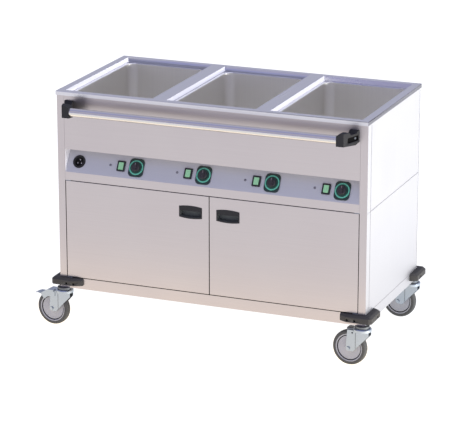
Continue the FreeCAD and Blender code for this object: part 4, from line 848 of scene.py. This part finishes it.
# %% The strip's directions
STRIP_OUT = -Vector(JOINTS["knob_1_turn"]["axis"])
STRIP_UP = Vector((0.0, STRIP_OUT.z, -STRIP_OUT.y))
DIAL_HIGH = 7.0
spots = [Vector(JOINTS["knob_%d_turn" % i]["pos_m"]) - STRIP_OUT * DIAL_HIGH * MM for i in range(1, 5)]
ACROSS = Vector((1, 0, 0))
STRIP_TURN = Matrix((ACROSS, STRIP_UP, STRIP_OUT)).transposed().to_4x4()


def on_strip(piece, spot):
    """Moves a piece drawn flat about the origin to its spot on the strip."""
    piece.data.transform(Matrix.Translation(spot) @ STRIP_TURN)
    return piece


def outline(width, height, corner, steps=6):
    """A rectangle with round corners, as points in millimetres."""
    points = []
    for i, (sx, sy) in enumerate(((1, 1), (-1, 1), (-1, -1), (1, -1))):
        for k in range(steps + 1):
            turn = math.radians(90 * i + 90 * k / steps)
            points.append((sx * (width / 2 - corner) + corner * math.cos(turn),
                           sy * (height / 2 - corner) + corner * math.sin(turn)))
    return points


def plate(name, outer, low, high, hole=None, worn=0.5):
    """A flat part from an outline, between two heights, perhaps with a hole."""
    rings = [outer] + ([hole] if hole else [])
    n = len(outer)
    points = [(x * MM, y * MM, z * MM) for z in (low, high) for ring in rings for x, y in ring]
    step = n * len(rings)
    faces = [(i, (i + 1) % n, (i + 1) % n + step, i + step) for i in range(n)]
    if hole:
        faces += [(n + (i + 1) % n, n + i, n + i + step, n + (i + 1) % n + step) for i in range(n)]
        faces += [(i, i + n, (i + 1) % n + n, (i + 1) % n) for i in range(n)]
        faces += [(i + step, (i + 1) % n + step, (i + 1) % n + n + step, i + n + step) for i in range(n)]
    else:
        faces += [tuple(reversed(range(n))), tuple(range(step, step + n))]
    mesh = bpy.data.meshes.new(name)
    mesh.from_pydata(points, [], faces)
    piece = bpy.data.objects.new(name, mesh)
    bpy.context.scene.collection.objects.link(piece)
    bevel = piece.modifiers.new("edge_radius", "BEVEL")
    bevel.width = worn * MM
    bevel.segments = 2
    bevel.limit_method = "ANGLE"
    bevel.angle_limit = math.radians(50)
    apply_all(piece)
    even_normals(piece, 40.0)
    return piece


# %% [markdown]
# A thermostat's dial has a flat black plate with round corners, a light green ring with a scale, and
# a knob: a dark green skirt, a low round boss, and a grip bar across it, split by a round middle.

# %% Dials
PLATE_HIGH = 3.5
PLATE_OUTLINE = outline(56.0, 66.0, 15.0)
SHAFT_HOLE = outline(10.0, 10.0, 4.9)
RING = [(22.0, 3.5), (22.0, 4.7), (22.3, 5.0), (26.0, 5.0), (26.5, 4.6), (26.5, 3.5), (22.0, 3.5)]
TICK_LOW, TICK_HIGH = (-0.35, 23.0, 4.9), (0.35, 25.6, 5.12)
TICK_COUNT, TICK_FIRST, TICK_STEP = 11, 135, 27
dial_plates, rings, ticks = [], [], []
for spot in spots:
    face = plate("dial_plate", PLATE_OUTLINE, 0.0, PLATE_HIGH, SHAFT_HOLE)
    dial_plates.append(on_strip(face, spot))
    rings.append(turned_piece("dial_ring", RING, spot, STRIP_OUT, steps=72))
    for k in range(TICK_COUNT):
        tick = block("tick", TICK_LOW, TICK_HIGH, worn=0.05)
        tick.data.transform(Matrix.Rotation(math.radians(TICK_FIRST - TICK_STEP * k), 4, "Z"))
        ticks.append(on_strip(tick, spot))
print("dials:", len(dial_plates), "with", len(ticks), "scale marks")
plates_all = coat(joined(dial_plates, "dial_plates"), plate_green)
instead_of(plates_all, "dial_bezels")
rings_all = coat(joined(rings, "dial_scale_rings"), ring_green)
instead_of(rings_all, "dial_rings")
ticks_all = coat(joined(ticks, "dial_scale_marks"), skirt_green)
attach(ticks_all, "trolley")

# %% [markdown]
# The knob's skirt and boss are turned. Its grip is two short bars, one on each side of the round
# middle, and the upper one carries the printed pointer line.

# %% Knobs
SKIRT = [(3.1, 0.5), (19.8, 0.5), (20.5, 0.9), (20.3, 2.2), (19.6, 2.9), (15.5, 3.1), (3.1, 3.1), (3.1, 0.5)]
BOSS = [
    (3.1, 3.0), (15.6, 3.0), (15.2, 8.6), (14.0, 9.9), (5.4, 10.3), (5.2, 14.0), (4.6, 14.6),
    (0.0, 14.6), (0.0, 13.7), (3.1, 13.7), (3.1, 3.0),
]
GRIP_HALF, GRIP_END, GRIP_FOOT, GRIP_TOP = 4.6, 15.0, 9.0, 13.8
LINE_LOW, LINE_HIGH = (-0.7, 5.6, 13.7), (0.7, 14.0, 14.0)


def knob(number):
    """The knob on one thermostat."""
    base = spots[number - 1] + STRIP_OUT * PLATE_HIGH * MM
    skirt = coat(turned_piece("knob_skirt", SKIRT, base, STRIP_OUT, 72), skirt_green)
    boss = coat(turned_piece("knob_boss", BOSS, base, STRIP_OUT, 72), knob_black)
    parts = [skirt, boss]
    for side in (-1, 1):
        y0, y1 = sorted((side * GRIP_HALF, side * GRIP_END))
        grip = block("knob_bar", (-GRIP_HALF, y0, GRIP_FOOT), (GRIP_HALF, y1, GRIP_TOP), 1.2)
        parts.append(coat(on_strip(grip, base), knob_black))
    line = block("knob_line", LINE_LOW, LINE_HIGH, 0.1)
    parts.append(coat(on_strip(line, base), mark_grey))
    body = joined(parts, "knob_%d_moulding" % number)
    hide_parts("knob_%d" % number)
    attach(body, "knob_%d" % number)


for i in range(1, 5):
    knob(i)
print("knobs made:", len(spots))

# %% [markdown]
# A switch is a black frame with a deep body behind the strip. Its lens is a rocker that stands a
# little above the frame, and tips about its own middle.

# %% Switches
SWITCH_LEFT, ROCKER_WIDE, ROCKER_TALL, FRAME_HIGH = 58.0, 18.0, 26.0, 5.0
WALL_DEEP, BODY_DEEP = -5.0, -24.0
FRAME_OUTLINE, BODY_OUTLINE = outline(30.0, 38.0, 2.5), outline(28.0, 35.0, 1.5)
FRAME_HOLE, BODY_HOLE = outline(ROCKER_WIDE + 1.0, ROCKER_TALL + 2.4, 1.0), outline(22.0, 30.0, 1.0)
LENS_OUTLINE = outline(ROCKER_WIDE, ROCKER_TALL, 1.2)
frames = []
for i, spot in enumerate(spots, 1):
    place = spot - ACROSS * SWITCH_LEFT * MM
    frames.append(on_strip(plate("frame", FRAME_OUTLINE, 0.0, FRAME_HIGH, FRAME_HOLE, 0.8), place))
    frames.append(on_strip(plate("walls", BODY_OUTLINE, WALL_DEEP, 0.0, BODY_HOLE, 0.1), place))
    frames.append(on_strip(plate("body", BODY_OUTLINE, BODY_DEEP, WALL_DEEP), place))
    lens = plate("rocker_%d_lens" % i, LENS_OUTLINE, -1.5, FRAME_HIGH + 1.5, worn=0.8)
    coat(on_strip(lens, place), rocker_green)
    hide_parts("rocker_%d" % i)
    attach(lens, "rocker_%d" % i)
switch_frames = coat(joined(frames, "switch_frames"), black_gloss)
instead_of(switch_frames, "switch_housings")
print("switches made:", len(spots))

# %% [markdown]
# ## Mains inlet and signal lamps
# The inlet is a round socket: a thin flange, a deep cup and three nickel-plated pins. Each is turned
# about an axis that stands square on the tilted strip, and the pins sit in a ring.

# %% Inlet
inlet_low, inlet_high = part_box("power_inlet")
inlet_place = Vector(((inlet_low.x + inlet_high.x) / 2, spots[0].y, spots[0].z))
SOCKET = [
    (0.0, -17.0), (16.6, -17.0), (17.0, 1.6), (17.8, 2.5), (22.6, 2.5), (23.5, 1.6), (23.5, 0.0),
    (20.5, 0.0), (20.5, -32.0), (0.0, -32.0),
]
PIN = [(0.0, -17.0), (2.4, -17.0), (2.4, -5.6), (1.9, -4.4), (0.8, -4.0), (0.0, -4.0)]
PIN_COUNT, PIN_RING = 3, 8.0
socket = coat(turned_piece("inlet_socket", SOCKET, inlet_place, STRIP_OUT, steps=72), black_abs)
pins = []
for i in range(PIN_COUNT):
    angle = math.radians(90 + i * 360 / PIN_COUNT)
    spot = inlet_place + (ACROSS * math.cos(angle) + STRIP_UP * math.sin(angle)) * PIN_RING * MM
    pins.append(coat(turned_piece("inlet_pin", PIN, spot, STRIP_OUT, steps=20), nickel))
print("inlet pins:", len(pins))
inlet = joined([socket] + pins, "mains_inlet")
instead_of(inlet, "power_inlet")

# %% [markdown]
# A signal lamp is a small smoked lens in a narrow rim, unlit here. One turned section makes both.

# %% Signal lamps
LAMP_LEFT = 100.0
LAMP = [
    (0.0, -14.0), (4.5, -14.0), (4.5, 0.8), (4.1, 1.3), (3.4, 1.3), (3.2, 0.9), (2.9, 1.6), (1.8, 2.3),
    (0.0, 2.5),
]
lamps = [turned_piece("signal_lens", LAMP, spot - ACROSS * LAMP_LEFT * MM, STRIP_OUT, steps=32)
         for spot in spots]
print("signal lamps:", len(lamps))
signal_lamps = coat(joined(lamps, "signal_lamps"), lamp_dark)
instead_of(signal_lamps, "pilot_lamps")

# %% [markdown]
# ## Castors
# A pressed fork under a ball race carries a wheel of light grey polyamide with a grey rubber tyre.
# Tyre and wheel are turned profiles: the tyre's shoulders are round, and the wheel's face has a
# sunk ring inside its rim and a raised hub. The bottom of the ring is painted black as shade.

# %% Wheels and tyres
TYRE_SECTION = [
    (50.0, -12.4), (55.0, -12.6), (58.0, -12.4), (59.8, -11.3), (61.3, -9.4), (62.2, -6.5),
    (62.5, -3.0), (62.5, 3.0), (62.2, 6.5), (61.3, 9.4), (59.8, 11.3), (58.0, 12.4),
    (55.0, 12.6), (50.0, 12.4), (50.0, -12.4),
]
WHEEL_HALF = [
    (4.1, 10.2), (9.0, 10.2), (10.5, 9.0), (12.0, 8.6), (42.4, 8.6), (42.8, 3.6),
    (45.2, 3.6), (45.6, 9.6), (46.4, 11.6), (49.4, 12.2), (50.1, 11.8),
]
GROOVE_MIDDLE, GROOVE_HALF = 44.0, 1.4


def swivel_frame(corner):
    """A castor's own axes as a matrix: X along its travel, Y along its axle, Z up the king pin."""
    swivel = JOINTS["castor_%s_swivel" % corner]
    spin = JOINTS["wheel_%s_spin" % corner]
    top, hub = Vector(swivel["pos_m"]), Vector(spin["pos_m"])
    ahead = Vector((top.x - hub.x, top.y - hub.y, 0.0)).normalized()
    turn = Matrix((ahead, Vector((-ahead.y, ahead.x, 0.0)), Vector((0, 0, 1)))).transposed().to_4x4()
    return Matrix.Translation(Vector((top.x, top.y, 0.0))) @ turn


def castor(corner):
    """Dresses one castor: tyre, wheel and fork."""
    joint = JOINTS["wheel_%s_spin" % corner]
    centre, axle = Vector(joint["pos_m"]), Vector(joint["axis"])
    body = "wheel_" + corner
    tyre = coat(turned_piece("tyre_" + corner, TYRE_SECTION, centre, axle, 96), tyre_grey)
    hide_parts("castor_tyre_" + corner)
    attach(tyre, body)
    section = WHEEL_HALF + [(radius, -side) for radius, side in reversed(WHEEL_HALF)]
    wheel = turned_piece("wheel_centre_" + corner, section + [WHEEL_HALF[0]], centre, axle, 96)

    def wheel_zone(place, normal):
        """0 the wheel, 1 the bottom of the ring groove, painted black as shade."""
        arm = place - drawn(centre)
        across = (arm - axle * arm.dot(axle)).length
        return 1 if abs(across - GROOVE_MIDDLE) < GROOVE_HALF else 0

    zoned(wheel, [wheel_grey, seal_black], wheel_zone)
    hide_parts("castor_wheel_" + corner)
    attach(wheel, body)
    coat(softened("castor_fork_" + corner, 0.7, smooth=6.0), zinc)


for corner in CORNERS:
    castor(corner)
for corner in ("front_left", "rear_left"):
    coat(softened("brake_pedal_" + corner, 0.5), zinc)
print("castors dressed:", len(CORNERS))

# %% [markdown]
# A fork's cheeks are pressed with an upright crease, whose shade is painted as a thin strip of the
# ball race's dull zinc. The unbraked forks have a small dust cap on their tail, as dull and grey as
# the ball race.

# %% Painted crease shade and dust caps
CHEEK, CREASE_DEEP = 17.85, 0.35
CREASE_BACK, CREASE_FRONT, CREASE_LOW, CREASE_HIGH = -18.8, -16.8, 65.0, 126.0
CAP_OUTLINE, CAP_LOW, CAP_HIGH, CAP_BACK = outline(28.0, 30.0, 6.0), 128.0, 137.5, -40.0
for corner in CORNERS:
    place = swivel_frame(corner)
    body = "castor_" + corner
    lines = [block("crease", (CREASE_BACK, side * CHEEK - CREASE_DEEP, CREASE_LOW),
                   (CREASE_FRONT, side * CHEEK + CREASE_DEEP, CREASE_HIGH)) for side in (-1, 1)]
    crease = coat(joined(lines, "fork_crease_" + corner), zinc_head)
    crease.data.transform(place)
    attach(crease, body)
    if "right" in corner:
        cap = plate("dust_cap_" + corner, CAP_OUTLINE, CAP_LOW, CAP_HIGH, worn=3.0)
        cap.data.transform(place @ Matrix.Translation(Vector((CAP_BACK, 0, 0)) * MM))
        coat(cap, zinc_head)
        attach(cap, body)
print("creases pressed at", CREASE_BACK, "to", CREASE_FRONT, "mm from the king pin")

# %% [markdown]
# ## Floor, light and background
# The photograph has a plain white background and no visible shadow. The floor gives off a soft
# white light of its own, as a lit table does, so the steel has something bright to mirror. A band of
# it in front of the trolley is cream and brighter, which gives the push bar its cream lower edge. The
# band ends under the trolley. To the right the floor grows twice as bright, and burns the side sheet
# out to white. The distances are metres in the row's frame.

# %% Floor
BRIGHT_FROM, BRIGHT_TO, BRIGHTEST = 0.5, 1.4, 2.0
CREAM_FROM, CREAM_FULL = -0.98, -0.72
CREAM_FADES, CREAM_ENDS = -0.2, 0.05
CREAM = (1.45, 1.30, 1.09, 1.0)
ops.object.select_all(action="DESELECT")
ops.mesh.primitive_plane_add(size=60.0, location=(0.0, 0.0, 0.0))
floor = bpy.context.object
floor.name = "studio_floor"
floor_material = bpy.data.materials.new("lit_white_floor")
floor_material.use_nodes = True
tree = floor_material.node_tree
tree.nodes.clear()
place = node(tree, "ShaderNodeTexCoord").outputs["Object"]
split = node(tree, "ShaderNodeSeparateXYZ", {}, {"Vector": place})
rise = node(tree, "ShaderNodeMapRange",
            {"From Min": BRIGHT_FROM, "From Max": BRIGHT_TO, "To Min": 1.0, "To Max": BRIGHTEST},
            {"Value": split.outputs["X"]})
under = node(tree, "ShaderNodeMapRange",
             {"From Min": CREAM_FADES, "From Max": CREAM_ENDS, "To Min": 1.0, "To Max": 0.0},
             {"Value": split.outputs["Y"]})
near = node(tree, "ShaderNodeMapRange", {"From Min": CREAM_FROM, "From Max": CREAM_FULL},
            {"Value": split.outputs["Y"], "To Max": under.outputs["Result"]})
warmth = node(tree, "ShaderNodeMix", {"data_type": "RGBA"}, {"Factor": near.outputs["Result"]})
warmth.inputs["A"].default_value = colour("#FFFFFF")
warmth.inputs["B"].default_value = CREAM
glow = node(tree, "ShaderNodeEmission", {},
            {"Color": warmth.outputs["Result"], "Strength": rise.outputs["Result"]})
matte = node(tree, "ShaderNodeBsdfDiffuse", {"Color": colour("#808080")})
both = node(tree, "ShaderNodeAddShader")
tree.links.new(glow.outputs["Emission"], both.inputs[0])
tree.links.new(matte.outputs["BSDF"], both.inputs[1])
out = node(tree, "ShaderNodeOutputMaterial")
tree.links.new(both.outputs["Shader"], out.inputs["Surface"])
floor.data.materials.append(floor_material)
print("floor lit, cream from", CREAM_FULL, "to", CREAM_FADES, "m")

# %% [markdown]
# The sky in front is a soft lavender near the horizon and again overhead, which the push bar and the
# back of each step mirror, and a paler grey between. The sky behind is a plain grey-blue.

# %% Sky
world = bpy.data.worlds.new("studio_sky")
bpy.context.scene.world = world
world.use_nodes = True
tree = world.node_tree
tree.nodes.clear()
direction = node(tree, "ShaderNodeTexCoord").outputs["Generated"]
split = node(tree, "ShaderNodeSeparateXYZ", {}, {"Vector": direction})


def height_ramp(steps):
    """Colours of the sky from the horizon, 0, to overhead, 1."""
    ramp = node(tree, "ShaderNodeValToRGB", {}, {"Fac": split.outputs["Z"]})
    points = ramp.color_ramp.elements
    while len(points) < len(steps):
        points.new(0.5)
    for point, (height, card) in zip(points, steps):
        point.position = height
        point.color = colour(card)
    return ramp.outputs["Color"]


front_sky = height_ramp([(0.0, "#BCBCF4"), (0.30, "#C4C3DE"), (0.62, "#CCCBE0"),
                         (0.86, "#AEB2E4"), (1.0, "#A8ADE2")])
back_sky = height_ramp([(0.0, "#C4C6DA"), (0.6, "#CACCDE"), (1.0, "#CBCEEC")])
side = node(tree, "ShaderNodeMapRange", {"From Min": -0.25, "From Max": 0.25}, {"Value": split.outputs["Y"]})
both_skies = node(tree, "ShaderNodeMix", {"data_type": "RGBA"}, {"Factor": side.outputs["Result"]})
tree.links.new(front_sky, both_skies.inputs["A"])
tree.links.new(back_sky, both_skies.inputs["B"])
sky = node(tree, "ShaderNodeBackground", {"Strength": 1.0}, {"Color": both_skies.outputs["Result"]})
out = node(tree, "ShaderNodeOutputWorld")
tree.links.new(sky.outputs["Background"], out.inputs["Surface"])
print("sky set in", len(tree.nodes), "nodes")

# %% [markdown]
# A low soft sun exactly from the right reaches what faces right and nothing that faces the front: it
# lights the left sides of the wells' steps, with their painted white reflection, and passes over the tubs.

# %% Low sun
SUN_STRENGTH, SUN_SPREAD = 2.2, 3.0
TOWARD_SUN = Vector((0.998, 0.0, 0.058))
sun_data = bpy.data.lights.new("low_sun", "SUN")
sun_data.energy = SUN_STRENGTH
sun_data.angle = math.radians(SUN_SPREAD)
sun = bpy.data.objects.new("low_sun", sun_data)
bpy.context.scene.collection.objects.link(sun)
sun.rotation_euler = (-TOWARD_SUN).to_track_quat("-Z", "Y").to_euler()
print("sun", round(math.degrees(math.asin(TOWARD_SUN.z)), 1), "degrees above the floor")

bpy.context.scene.view_settings.view_transform = "Standard"
bpy.context.scene.view_settings.look = "None"

# %% [markdown]
# ## Last cell
# It imports json once more. The dressed part has to stay in the box of the solids.

# %% Last import
import json
